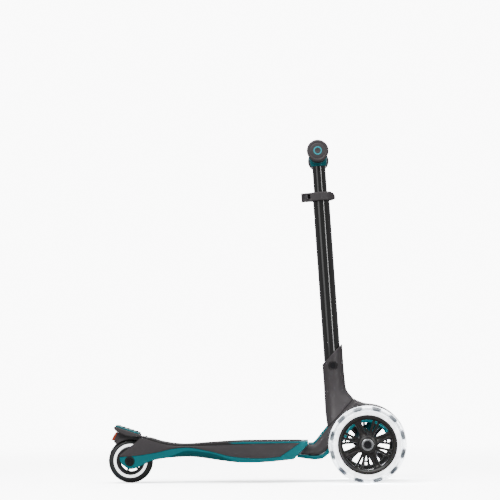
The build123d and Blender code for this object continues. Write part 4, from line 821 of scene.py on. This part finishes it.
def lamp_plastic(name):
    """Frosted white ring that glows: brighter in round spots that stand for the lamps, from a pattern of
    distances, and dimmer between them; a fine noise frosts it."""
    material, add, shader, links = start_material(name)
    place = add("TexCoord").outputs["Object"]
    frost = add("TexNoise", {"Vector": place, "Scale": 1500.0, "Detail": 3.0})
    spots = add("TexVoronoi", {"Vector": place, "Scale": 95.0, "Randomness": 0.35})
    glow = add("MapRange", {"Value": spots.outputs["Distance"], "From Max": 0.7, "To Min": 5.0,
                            "To Max": 2.2})
    rough = add("MapRange", {"Value": frost.outputs["Fac"], "To Min": 0.3, "To Max": 0.6})
    bump = add("Bump", {"Height": frost.outputs["Fac"], "Strength": 0.5, "Distance": 0.0001})
    shade = ramp_between(add, frost.outputs["Fac"], 0.3, 0.8, (0.82, 0.84, 0.87, 1), (0.96, 0.97, 0.98, 1))
    surface(shader, links, shade, rough.outputs[0], bump.outputs[0])
    links.new(glow.outputs[0], shader.inputs["Emission Strength"])
    shader.inputs["Emission Color"].default_value = (0.95, 0.97, 1.0, 1)
    return material


clear_tyre = clear_urethane("clear urethane")
# material of the tyre pockets, painted grey-blue as painted shade
pocket_shade = pocket_shade_urethane("smoked urethane")
lit_ring = lamp_plastic("lit ring")
rim_plastic = moulded_plastic("rim nylon", (0.013, 0.0122, 0.0118, 1), (0.022, 0.0205, 0.0195, 1), 0.3,
                              scuff=0.25, coat=0.2)
for side, where in both_sides:
    centre = (front_u, side * wheel_y, front_z)
    body = "front_wheel_" + where
    groove = 0.35 * np.cos(2 * np.pi * np.linspace(0, 1, 29) * 3)
    profile = crowned_tyre(63.1, 72.47, 14.0, 5.0, 1.6)
    profile[5:24, 0] -= np.abs(groove[5:24]) * (profile[5:24, 0] < 72.35) * 0.6
    tyre = build("front_tyre_" + where, [turned(profile, centre, 200)], sharp=50)
    finish_with(tyre, clear_tyre, body, "clear_tyre", "front_tyre_" + where)
    pockets = []
    for number in range(12):
        middle = np.radians(15.5 + 30 * number)
        length = np.linspace(-1, 1, 14)
        turn = middle + np.radians(8.6) * length
        swell = np.sqrt(np.maximum(0.0, 1 - length ** 4))[:, None] + 0.04
        ring = np.linspace(0, 2 * np.pi, 16, endpoint=False)[None, :]
        radius = 67.6 + 3.5 * swell * np.sign(np.cos(ring)) * np.abs(np.cos(ring)) ** 0.7
        wall = 14.0 * np.sqrt(1 - (np.maximum(radius - 67.5, 0) / 5.0) ** 2)
        for face in (-1, 1):
            y = centre[1] + face * (wall - 0.5 + 0.75 * swell * np.sin(ring))
            pockets.append(tube_skin(np.stack([centre[0] + radius * np.cos(turn)[:, None], y + 0 * radius,
                                               centre[2] + radius * np.sin(turn)[:, None]], -1)))
    pads = build("front_tyre_pockets_" + where, pockets)
    finish_with(pads, pocket_shade, body, "clear_tyre")
    lamp = build("light_ring_" + where, [turned(rounded([(55.6, -11), (55.6, 11), (57.5, 12.4), (62.9, 12.4),
                                                         (62.9, -12.4), (57.5, -12.4)], 0.8), centre, 160)])
    finish_with(lamp, lit_ring, body, "light_ring", "light_ring_" + where)
    outer_ring = rounded([(55.4, -12), (55.4, 12), (53.6, 12.4), (50.2, 11.6), (47.2, 9.0), (46.4, 0),
                          (47.2, -9.0), (50.2, -11.6), (53.6, -12.4)], 0.8)
    hub = rounded([(11.05, -12), (13.0, -12.3), (16.0, -11.2), (18.6, -8), (18.6, 8), (16.0, 11.2),
                   (13.0, 12.3), (11.05, 12), (11.05, 5.2), (8.5, 4.8), (8.5, -4.8), (11.05, -5.2)], 0.5)
    shells = [turned(outer_ring, centre, 160), turned(hub, centre, 96)]
    for number in range(4):
        broad = 23.5 + 90 * number + (21 if side > 0 else 0)
        shells.append(spoke_skin(13.5, 49.0, 18.0, 13.0, 20, 17, broad, centre, 0.84, 3.2))
        for lean in (-6.4, 6.4):
            shells.append(spoke_skin(13.5, 49.2, 6.4, 5.0, 15, 13, broad + 45 + lean, centre, 0.82, 1.2))
        web_turn = np.radians(broad + 45 + np.linspace(-7.5, 7.5, 9))
        web_corners = [(38.0, -4.6), (38.0, 4.6), (41.5, 4.6), (41.5, -4.6)]
        shells.append(tube_skin(arc_rings(web_corners, web_turn, centre)))
    rim = build("front_rim_" + where, shells, edge=0.3)
    finish_with(rim, rim_plastic, body, "black_plastic", "front_rim_" + where)
    bearing_ring = build("front_bearing_ring_" + where, [turned(rounded([(7.6, d * 12.0), (10.9, d * 12.0),
                  (10.9, d * 12.5), (9.9, d * 12.9), (7.9, d * 12.9), (7.6, d * 12.6)], 0.2), centre, 72)
                  for d in (-1, 1)])
    finish_with(bearing_ring, bright_steel, body, "bright_steel")
repaint(bright_steel, "front_bearings_left", "front_bearings_right")

# ---- neck ----
# Teal structural moulding that the slide rail is bonded into: the neck's floor and top strip, the arch
# over the steering truck and the boss that the kingpin is pressed in.
def arc(radius, start, finish, count):
    """Points on a circle about the front axle from one angle to another, in degrees above the front."""
    turn = np.radians(np.linspace(start, finish, count))
    return np.stack([front_u + radius * np.cos(turn), front_z + radius * np.sin(turn)], -1)


front_half_line = line_through([(330, 39), (365.6, 39), (387.5, 45), (409.5, 54), (434.5, 57), (489.5, 57),
                                (527.5, 52)])


drawn_half = 50


def spread(rings):
    """A section made drawn_half wide either side, scaled at each point to the front's plan there."""
    rings[..., 1] *= height(front_half_line, rings[..., 0]) / drawn_half
    return rings


neck_low = line_through([(316.8, 47.4), (330, 45.2), (352.6, 42.8), (363.6, 44.2), (379.5, 55.4), (392, 69)],
                        60)
neck_high = line_through([(320, 52.6), (332, 51.6), (352.6, 49.9), (362, 51.3), (375.5, 62.0), (387, 74.4)],
                         60)
band_low = np.concatenate([neck_low[:-8], arc(40, 166, 14, 70)])
band_high = np.concatenate([neck_high[:-8], arc(49, 166, 14, 70)])
strip_path = line_through([(338.5, 71.4), (343, 71.5), (347.8, 71.7), (352.4, 75.4), (363, 88),
                           (375.6, 103.2)], 50)
strip_normal = np.stack([-np.gradient(strip_path[:, 1]), np.gradient(strip_path[:, 0])], -1)
strip_normal /= np.linalg.norm(strip_normal, axis=1, keepdims=True)
strip_rings = section_rings(strip_path - 2 * strip_normal, strip_path + 2.1 * strip_normal,
                            np.linspace(33, 35, 50), 1.2)
king_u, king_z = front_u - 14 * np.sqrt(0.5), front_z + 14 * np.sqrt(0.5)
king_along = np.array([19.2, 19.9, 44.0, 49.0])[:, None]
king_radius = np.array([11.2, 12.0, 12.4, 14.5])[:, None]
king_turn = np.linspace(0, 2 * np.pi, 48, endpoint=False)
king_ring = np.stack([king_u + np.sqrt(0.5) * (king_along - king_radius * np.sin(king_turn)),
                      king_radius * np.cos(king_turn),
                      king_z + np.sqrt(0.5) * (king_along + king_radius * np.sin(king_turn))], -1)
core = build("neck_core", [tube_skin(spread(section_rings(band_low, band_high, drawn_half, 1.4))),
                           tube_skin(strip_rings), tube_skin(king_ring)], edge=0.5)
finish_with(core, teal_plastic, "front_frame", "teal_plastic", "neck_core")

# ---- hood cover ----
# Charcoal shell over the neck and the arch, screwed down with the stem base. Its crown is rounded off
# at both sides and its front edge ends just over the wheels.
hood_low = np.concatenate([line_through([(321.4, 52.4), (333, 51.2), (352.6, 49.5), (362, 50.9), (375, 61.6),
                                         (386.4, 74.2)], 40), arc(49.5, 166, 14, 80)])
hood_high = line_through([(425.2, 156.7), (431, 153.4), (437.5, 150.6), (444.5, 148), (452.1, 146.45)], 40)
fall = arc(74, 86, 14, 60)
wall_up = np.concatenate([np.linspace((338.6, 71.4), (348.6, 71.4), 12),
                          np.linspace((349.6, 72.0), (352.6, 75.0), 6),
                          np.linspace((353.4, 76.0), (374.9, 101.8), 22),
                          np.linspace((376.6, 102.8), (425.7, 155.8), 34), hood_high[1:-1:3], fall])
share_low = np.linspace(0, 1, len(hood_low))
matched_at = [0, 12, 18, 40, 74, 87, len(wall_up) - 1]
pair = np.interp(np.arange(len(wall_up)), matched_at, [0, 0.22, 0.25, 0.345, 0.60, 0.70, 1.0])
hood_floor = np.stack([np.interp(pair, share_low, hood_low[:, k]) for k in (0, 1)], -1)
hood = build("hood_cover", [tube_skin(spread(section_rings(hood_floor, wall_up, drawn_half + 0.4, 9.0, 8)))],
             edge=0.6)
finish_with(hood, charcoal_plastic, "front_frame", "charcoal_plastic", "hood_cover")

# ---- stem base ----
# Charcoal socket for the stem: square and wide where it is screwed to the neck, round above, cut on a
# slant at its top. A cross bolt in a deep recess with a raised rim holds the outer tube.
seat_keys = [((374.9, 102.7), (425.0, 157.4)), ((373.9, 110), (422.4, 160.2)), ((372.7, 119), (418.6, 164.8)),
             ((371.6, 129), (414.0, 170.6)), ((370.9, 140), (411.2, 177.6)), ((370.3, 152), (410.1, 185.6)),
             ((369.7, 166), (409.3, 194)), ((368.9, 182), (408.4, 203)), ((368.0, 197), (407.3, 217)),
             ((367.1, 210), (406.0, 238)), ((366.4, 221.9), (404.8, 259.0))]
seat_back, seat_front = between(seat_keys, 90)
socket_half = 20.3


def seat_rings(back, front, shrink=0.0, points=72):
    """Closed rings between a back and a front line. Each is a superellipse (cosine and sine raised to a
    power): nearly square at the foot, a true ellipse on the barrel, and shrink smaller all round. Half the
    width falls with height."""
    turn = np.linspace(0, 2 * np.pi, points, endpoint=False)[None, :]
    foot = 1 - ease(np.arange(len(back)), 0, 46)[:, None]
    power = 1 - 0.42 * foot
    along = np.sign(np.cos(turn)) * np.abs(np.cos(turn)) ** power
    aside = np.sign(np.sin(turn)) * np.abs(np.sin(turn)) ** power
    middle, reach = (back + front) / 2, (front - back) / 2
    length = np.linalg.norm(reach, axis=1)[:, None]
    scale = (length - shrink) / length
    side = middle[:, None] + reach[:, None] * (along * scale)[..., None]
    wide = np.interp(side[..., 1], [101, 118, 140, 158, 172, 190], [43, 36.5, 28.2, 23.6, 21.0, socket_half])
    y = (wide - shrink) * aside
    return np.stack([side[..., 0], y, side[..., 1]], -1)


plinth = [seat_rings(seat_back[:1] + [drop, -drop], seat_front[:1] + [drop, -drop], 1.6)
          for drop in (1.0, 0.0)]
outside = np.concatenate(plinth + [seat_rings(seat_back, seat_front)])
bore_turn = np.linspace(0, 2 * np.pi, 72, endpoint=False)
stem_lean = np.radians(3.44)
handle_low, handle_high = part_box("handlebar_tube")
handle_u = ((handle_low.x + handle_high.x) / 2 - rear_axle_x) * 1000
handle_z = (handle_low.z + handle_high.z) / 2 * 1000


def stem_point(across, side, along):
    """A point on the stem, given across it, to the side and along it from the handlebar's centre: the two
    directions in the side view are turned by the stem's lean."""
    across, side, along = np.broadcast_arrays(np.asarray(across, float), side, along)
    return np.stack([handle_u + across * np.cos(stem_lean) - along * np.sin(stem_lean), side,
                     handle_z + across * np.sin(stem_lean) + along * np.cos(stem_lean)], -1)


def slant_height(across):
    """How far along the stem the slanting cut is, across it: a straight line."""
    return np.interp(across, [-20.3, 20.3], [-398.2, -360.4])


rim_rings = []
for radius, drop in ((19.6, 0.0), (16.6, 0.0), (16.15, 0.6), (16.15, 30.0)):
    across = radius * np.cos(bore_turn)
    level = slant_height(across) - drop if drop < 5 else np.full(72, -420.0)
    rim_rings.append(stem_point(across, radius * np.sin(bore_turn), level))
base = build("stem_base", [tube_skin(np.concatenate([outside, np.stack(rim_rings)]))], edge=0.35)
bolt_low, bolt_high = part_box("stem_base_bolt")
bolt_u = ((bolt_low.x + bolt_high.x) / 2 - rear_axle_x) * 1000
bolt_z = (bolt_low.z + bolt_high.z) / 2 * 1000
bolt_centre = (bolt_u, 0.0, bolt_z)
recess = [(0.0001, 16.8), (7.7, 16.8), (7.7, 30), (0.0001, 30)]
cut_out(base, build("recess core right", [turned([(r, -y) for r, y in recess], bolt_centre, 64)]),
        build("recess core left", [turned(recess, bolt_centre, 64)]))
finish_with(base, charcoal_plastic, "front_frame", "charcoal_plastic", "stem_base")
recess_rims = [turned(rounded([(7.7, s * 16.6), (9.3, s * 16.6), (9.3, s * 19.9), (7.7, s * 19.9)], 0.4),
                      bolt_centre, 72) for s in (-1, 1)]
recess_rim = build("stem_base_recess_rims", recess_rims)
finish_with(recess_rim, black_plastic, "front_frame", "charcoal_plastic")
repaint(black_bolt, "stem_base_bolt", "stem_base_nut")
repaint(bright_steel, "stem_base_screws")

# ---- stem tubes ----
# Two black powder-coated steel tubes, one sliding in the other on a nylon bush; the outer is slotted at
# its top for the clamp and has the height button's hole at its back, and a printed dash line in front.
def gloss_coat(name, colour):
    """Black gloss paint on steel: a fine noise gives its orange-peel skin. Scratches are a noise drawn out
    along the tube and thinned by a slow one; they are paler and duller."""
    material, add, shader, links = start_material(name)
    place = add("TexCoord").outputs["Object"]
    peel = add("TexNoise", {"Vector": place, "Scale": 520.0, "Detail": 3.0})
    slide = add("Mapping", {"Vector": place, "Scale": (1600.0, 1600.0, 12.0)})
    lines = add("TexNoise", {"Vector": slide.outputs[0], "Scale": 1.0, "Detail": 2.0})
    cloud = add("TexNoise", {"Vector": place, "Scale": 28.0, "Detail": 5.0})
    scratch = ramp_between(add, lines.outputs["Fac"], 0.62, 0.72)
    some = add("Math", {0: scratch, 1: cloud.outputs["Fac"]}, operation="MULTIPLY")
    mix = add("Mix", {"Factor": some.outputs[0], "A": colour, "B": (0.035, 0.035, 0.036, 1)},
              data_type="RGBA")
    rough = add("MapRange", {"Value": some.outputs[0], "To Min": 0.13, "To Max": 0.26})
    bump = add("Bump", {"Height": peel.outputs["Fac"], "Strength": 0.05, "Distance": 0.0001})
    surface(shader, links, mix.outputs["Result"], rough.outputs[0], bump.outputs[0])
    shader.inputs["Coat Weight"].default_value = 0.8
    shader.inputs["Coat Roughness"].default_value = 0.05
    return material


def along_stem(profile, points=112):
    """A closed profile of (radius, place along the stem) turned about the stem's axis."""
    profile = np.array(profile, float)
    turn = np.linspace(0, 2 * np.pi, points, endpoint=False)[:, None]
    rings = stem_point(profile[None, :, 0] * np.cos(turn), profile[None, :, 0] * np.sin(turn),
                       profile[None, :, 1] + 0 * turn)
    return tube_skin(rings, loop=True)


def long_wall(radius, wall, low, high, lead=0.5, steps=24):
    """A tube's closed profile with both ends chamfered by lead, divided along its length."""
    up = np.linspace(low + lead, high - lead, steps)
    return np.concatenate([np.stack([np.full(steps, radius), up], -1),
                           [(radius - lead, high), (radius - wall, high)],
                           np.stack([np.full(steps, radius - wall), up[::-1]], -1)[1:-1],
                           [(radius - wall, low), (radius - lead, low)]])


gloss_black = gloss_coat("black gloss coat", (0.0072, 0.0070, 0.0064, 1))
outer_tube = build("outer_tube", [along_stem(long_wall(15.9, 1.5, -466.0, -72.6))])
hole_turn = np.linspace(0, 2 * np.pi, 40, endpoint=False)
hole_core = np.stack([stem_point(np.full(40, a), 4.1 * np.cos(hole_turn), -116 + 4.1 * np.sin(hole_turn))
                      for a in (-24, -10)])
slot_core = np.stack([stem_point(np.full(4, a), np.array([-1.25, 1.25, 1.25, -1.25]),
                                 np.array([-92.7, -92.7, -60, -60]))
                      for a in (-24, -10)])
cut_out(outer_tube, build("button hole core", [tube_skin(hole_core)]),
        build("clamp slot core", [tube_skin(slot_core)]))
finish_with(outer_tube, gloss_black, "front_frame", "black_gloss_tube", "outer_tube")
inner_tube = build("inner_tube", [along_stem(long_wall(12.7, 1.5, -338.0, -11.6))])
finish_with(inner_tube, gloss_black, "handlebar", "black_gloss_tube", "inner_tube")
bush = build("tube_bush", [along_stem(rounded([(12.8, -110.4), (14.3, -110.4), (14.3, -72.5), (15.8, -72.4),
                                               (15.8, -71.2),
                                                (15.2, -70.9), (13.4, -70.6), (12.8, -71.0)], 0.3))])
finish_with(bush, black_plastic, "front_frame", "black_plastic", "tube_bush")
repaint(black_plastic, "tube_slider", "height_button")
repaint(bright_steel, "height_button_spring")
dash_skins = []
for number in range(9):
    low = -131.5 - 20.4 * number
    turn = np.radians(np.linspace(-13, 13, 12))
    ends = np.array([low - 13.2, low])
    shell = [stem_point((radius * np.cos(turn))[None, :], (radius * np.sin(turn))[None, :], ends[:, None])
             for radius in (15.92, 15.8)]
    ring = np.concatenate([shell[0], shell[1][:, ::-1]], 1)
    dash_skins.append(tube_skin(ring))
dashes = build("stem_scale_dashes", dash_skins)
finish_with(dashes, moulded_plastic("white print", (0.78, 0.78, 0.77, 1), (0.86, 0.86, 0.85, 1), 0.4, 0.2,
                                    0.01, 0.6),
            "front_frame", "black_gloss_tube")

# ---- clamp ----
# Nylon collar round the slotted top of the outer tube, split at the back, and the quick-release lever
# that wraps its right side. The lever's forked end turns on a steel pin through the eye of the cross bolt.
def stem_plate(outline, low, high):
    """A closed outline across the stem, carried straight along it from one level to another."""
    outline = np.array(outline, float)
    levels = np.array([low, high])[:, None]
    return tube_skin(stem_point(outline[None, :, 0], outline[None, :, 1], levels))


def stem_sections(inner, outer, half, level):
    """Rounded rectangles between two lines across the stem, each half tall either side of its level."""
    rings = section_rings(inner, outer, half, 1.5)
    return stem_point(rings[..., 0], rings[..., 2], rings[..., 1] + np.asarray(level)[:, None])


collar_turn = np.radians(np.linspace(-174.5, 174.5, 110))[:, None]
collar_wall = rounded([(16.05, -86.4), (21.7, -86.4), (22.3, -85.6), (22.3, -72.6), (20.9, -70.0),
                       (18.6, -69.2), (16.05, -69.2)], 0.7)
collar_rings = stem_point(collar_wall[None, :, 0] * np.cos(collar_turn),
                          collar_wall[None, :, 0] * np.sin(collar_turn),
                          collar_wall[None, :, 1] + 0 * collar_turn)
ear = [(-17.0, 1.3), (-35.6, 1.3), (-37.6, 3.2), (-37.6, 6.0), (-35.0, 8.5), (-24.0, 8.5), (-17.0, 12.4)]
collar_ears = [stem_plate([(x, s * y) for x, y in ear], -86.2, -69.6) for s in (1, -1)]
nose = stem_plate([(18.5, -11.5), (22.6, -11.5), (23.8, -9.5), (23.8, 9.5), (22.6, 11.5), (18.5, 11.5)],
                  -85.4, -72.4)
collar = build("clamp_collar", [tube_skin(collar_rings), nose] + collar_ears, edge=0.5)
cross_turn = np.linspace(0, 2 * np.pi, 32, endpoint=False)
cross = np.stack([stem_point(-27.5 + 2.7 * np.cos(cross_turn), np.full(32, y),
                             -77.75 + 2.7 * np.sin(cross_turn)) for y in (-30.0, 30.0)])
cut_out(collar, build("cross bolt core", [tube_skin(cross)]))
finish_with(collar, charcoal_plastic, "front_frame", "charcoal_plastic", "clamp_collar")
lever_in, lever_out = between([((-19.4, -13.4), (-20.2, -25.6)), ((-12.2, -19.9), (-12.5, -28.2)),
                               ((-4, -22.95), (-4, -29.4)), ((4, -22.95), (4, -29.2)),
                               ((12, -19.9), (13.0, -26.8)),
                               ((17.8, -15.2), (20.2, -21.3)), ((21.5, -9.6), (25.4, -15.0)),
                               ((22.6, -6.9), (27.0, -9.4))], 90)
reach = np.linspace(0, 1, 90)
grip_ribs = (0.4 * np.maximum(0, np.cos(2 * np.pi * reach * 16)) * ease(reach, 0.3, 0.36)
             * (1 - ease(reach, 0.66, 0.72)))
lever_thick = np.linalg.norm(lever_out - lever_in, axis=1)[:, None]
lever_out = lever_out + grip_ribs[:, None] * (lever_out - lever_in) / lever_thick
lever_half = np.interp(reach, [0, 0.55, 0.8, 1.0], [7.9, 7.9, 6.6, 3.6])
lever_level = np.interp(reach, [0, 0.55, 0.8, 1.0], [-78.5, -78.5, -79.6, -81.6])
fork_turn = np.radians(np.linspace(80, 280, 30))
fork = [(-27.5 + 7 * np.cos(t), -16.5 + 7 * np.sin(t)) for t in fork_turn] + [(-17.4, -26.8), (-16.6, -15.2)]
lever = build("clamp_lever", [tube_skin(stem_sections(lever_in, lever_out, lever_half, lever_level)),
                              stem_plate(fork, -86.4, -82.2), stem_plate(fork, -73.6, -70.6)], edge=0.5)
finish_with(lever, charcoal_plastic, "clamp_lever", "charcoal_plastic", "clamp_lever")
repaint(bare_metal("dull steel", (0.16, 0.16, 0.17, 1), 0.38, spots=0.4), "clamp_bolt", "clamp_lever_pin")

# ---- T-joint ----
# Teal nylon T moulded over the top of the inner tube and the middle of the handlebar tube.
handle_centre = (handle_u, 0.0, handle_z)
barrel = rounded([(11.15, -35), (15.8, -35), (17.7, -33.4), (17.7, -30.5), (17.0, -29.6), (17.0, 29.6),
                  (17.7, 30.5), (17.7, 33.4), (15.8, 35), (11.15, 35)], 1.0, 5)
throat = rounded([(12.75, -20), (14.2, -20), (14.9, -19.2), (15.1, -17), (16.4, -13), (16.6, -8),
                  (12.75, -8)], 0.8, 5)
t_joint = build("t_joint", [turned(barrel, handle_centre, 120), along_stem(throat)], edge=0.3)
finish_with(t_joint, teal_plastic, "handlebar", "teal_plastic", "t_joint")
repaint(gloss_black, "handlebar_tube")

# ---- grips ----
# Soft black rubber grips pressed on the handlebar tube, ribbed round and knurled between the ribs, each
# closed by a charcoal bumper cap with an inlaid ring.
grip_rubber = soft_rubber("grip rubber", (0.017, 0.0165, 0.017, 1), (0.034, 0.033, 0.033, 1), 0.66, 0.4)
inlay_plastic = moulded_plastic("bright teal nylon", (0.012, 0.27, 0.33, 1), (0.02, 0.36, 0.43, 1), 0.34,
                                shine=0.3)
grip_turn = np.linspace(0, 2 * np.pi, 150, endpoint=False)[:, None]
grip_along = np.linspace(35.4, 125.8, 230)[None, :]
flange = 1.5 * (1 - ease(grip_along, 38.6, 40.2)) - 0.8 * (1 - ease(grip_along, 35.4, 36.2))
ribs_round = 0.75 * ease(np.cos(2 * np.pi * (grip_along - 42) / 10.6), 0.35, 0.8) * ease(grip_along, 40.5, 42)
knurl = 0.28 * ease(np.cos(30 * grip_turn + grip_along * 1.9) * np.cos(30 * grip_turn - grip_along * 1.9),
                    0.2, 0.6)
tail = 0.8 * ease(grip_along, 124.9, 125.8)
grip_radius = 14.7 + flange + ribs_round + knurl * (1 - ribs_round / 0.75) * ease(grip_along, 40.5, 42) - tail
cap_profile = [(0.002, 133.55), (5.2, 133.75), (13.5, 133.6), (14.3, 133.0), (15.1, 133.0), (15.9, 133.55),
               (17.8, 133.6),
               (19.6, 132.7), (20.5, 130.8), (20.5, 128.2), (19.8, 126.7), (18.2, 126.05), (9.5, 126.05),
               (9.4, 113), (0.002, 113)]
for side, where in both_sides:
    y = np.broadcast_to(grip_along, grip_radius.shape) * side
    outer = np.stack([handle_u + grip_radius * np.cos(grip_turn), y,
                      handle_z + grip_radius * np.sin(grip_turn)], -1)
    bore = np.stack([handle_u + 11.15 * np.cos(grip_turn) + 0 * y, y,
                     handle_z + 11.15 * np.sin(grip_turn) + 0 * y], -1)
    grip = build("grip_" + where, [tube_skin(np.concatenate([outer, bore[:, ::-1][:, ::76]], 1), loop=True)],
                 sharp=60)
    finish_with(grip, grip_rubber, "handlebar", "grip_rubber", "grip_" + where)
    half_profile = [(r, side * along) for r, along in cap_profile]
    cap = build("grip_cap_" + where, [turned(rounded(half_profile, 0.35, 3), handle_centre, 128)], sharp=40)
    finish_with(cap, charcoal_plastic, "handlebar", "charcoal_plastic", "grip_cap_" + where)
    inlay = [(5.6, side * 133.2), (5.6, side * 133.86), (5.8, side * 133.95), (7.6, side * 133.93),
             (7.8, side * 133.84), (7.8, side * 133.2)]
    ring = build("grip_cap_inlay_" + where, [turned(inlay, handle_centre, 128)])
    finish_with(ring, inlay_plastic, "handlebar", "teal_plastic")

# ---- studio ----
# A pale floor that fades out at its edge, a wide soft light overhead, a key light from the front left, a
# strip and a panel that draw the highlights on the tubes, a light behind, and the camera, rolled a little.
floor_mesh = bpy.data.meshes.new("floor")
floor_turn = np.linspace(0, 2 * np.pi, 96, endpoint=False)
floor_points = np.stack([7 * np.cos(floor_turn), 7 * np.sin(floor_turn), np.full(96, -0.0002)], -1)
floor_mesh.from_pydata(floor_points.tolist(), [], [list(range(96))])
floor = bpy.data.objects.new("floor", floor_mesh)
bpy.context.scene.collection.objects.link(floor)
floor_paint, add, shader, links = start_material("pale floor")
distance = add("VectorMath", {0: add("TexCoord").outputs["Object"]}, operation="LENGTH")
fade = add("MapRange", {"Value": distance.outputs["Value"], "From Min": 0.45, "From Max": 2.4},
           interpolation_type="SMOOTHERSTEP")
light_path = add("LightPath")
seen = add("Math", {0: light_path.outputs["Is Camera Ray"], 1: light_path.outputs["Is Transmission Ray"]},
           operation="MAXIMUM")
glow = add("Emission", {"Color": (1, 1, 1, 1), "Strength": 0.9})
pale = add("BsdfDiffuse", {"Color": (5.0, 5.0, 5.0, 1)})
bounce = add("BsdfDiffuse", {"Color": (0.3, 0.3, 0.3, 1)})
bright = add("AddShader", {0: pale.outputs[0], 1: glow.outputs[0]})
either = add("MixShader", {0: seen.outputs[0], 1: bounce.outputs[0], 2: bright.outputs[0]})
clear = add("BsdfTransparent")
faded = add("MixShader", {0: fade.outputs[0], 1: either.outputs[0], 2: clear.outputs[0]})
links.new(faded.outputs[0], floor_paint.node_tree.nodes["Material Output"].inputs["Surface"])
floor_mesh.materials.append(floor_paint)

world = bpy.data.worlds.new("studio")
bpy.context.scene.world = world
world.use_nodes = True
sky = world.node_tree.nodes
sky_links = world.node_tree.links
path = sky.new("ShaderNodeLightPath")
direct = sky.new("ShaderNodeMath")
direct.operation = "MAXIMUM"
sky_links.new(path.outputs["Is Camera Ray"], direct.inputs[0])
sky_links.new(path.outputs["Is Transmission Ray"], direct.inputs[1])
room = sky.new("ShaderNodeBackground")
room.inputs["Color"].default_value, room.inputs["Strength"].default_value = (0.97, 0.97, 1, 1), 0.32
back_wall = sky.new("ShaderNodeBackground")
back_wall.inputs["Color"].default_value, back_wall.inputs["Strength"].default_value = (1, 1, 1, 1), 10.0
choice = sky.new("ShaderNodeMixShader")
sky_links.new(direct.outputs[0], choice.inputs[0])
sky_links.new(room.outputs[0], choice.inputs[1])
sky_links.new(back_wall.outputs[0], choice.inputs[2])
sky_links.new(choice.outputs[0], sky["World Output"].inputs["Surface"])


def soft_light(name, place, target, width, tall, power, colour=(1, 1, 1)):
    """A rectangular area light at place, turned so that its face looks at target."""
    lamp = bpy.data.lights.new(name, "AREA")
    lamp.shape, lamp.size, lamp.size_y, lamp.energy, lamp.color = "RECTANGLE", width, tall, power, colour
    made = bpy.data.objects.new(name, lamp)
    made.location = place
    aim = Vector(target) - Vector(place)
    made.rotation_euler = aim.to_track_quat("-Z", "Y").to_euler()
    bpy.context.scene.collection.objects.link(made)
    return made


soft_light("overhead", (0, -0.5, 3.2), (0, 0, 0), 3.0, 2.2, 110)
soft_light("key", (-1.5, -2.7, 2.7), (-0.1, 0, 0.1), 1.3, 1.0, 75)
soft_light("strip", (1.55, -2.35, 0.9), (0.1, 0, 0.4), 0.2, 2.2, 24)
soft_light("panel", (-1.9, -2.3, 1.1), (0, 0, 0.3), 1.3, 2.0, 11)
soft_light("back", (0.4, 2.6, 1.4), (0, 0, 0.3), 1.8, 1.6, 20)

camera_data = bpy.data.cameras.new("camera")
camera_data.lens = 183.0
camera_data.sensor_width = 36.0
camera = bpy.data.objects.new("camera", camera_data)
bpy.context.scene.collection.objects.link(camera)
camera.location = (0.1399, -4.85, 0.2383)
look = Vector((-0.0089, 0, 0.4417)) - camera.location
aimed = look.to_track_quat("-Z", "Y")
camera.rotation_mode = "QUATERNION"
camera.rotation_quaternion = aimed @ Quaternion((0, 0, 1), np.radians(-0.557))
bpy.context.scene.camera = camera
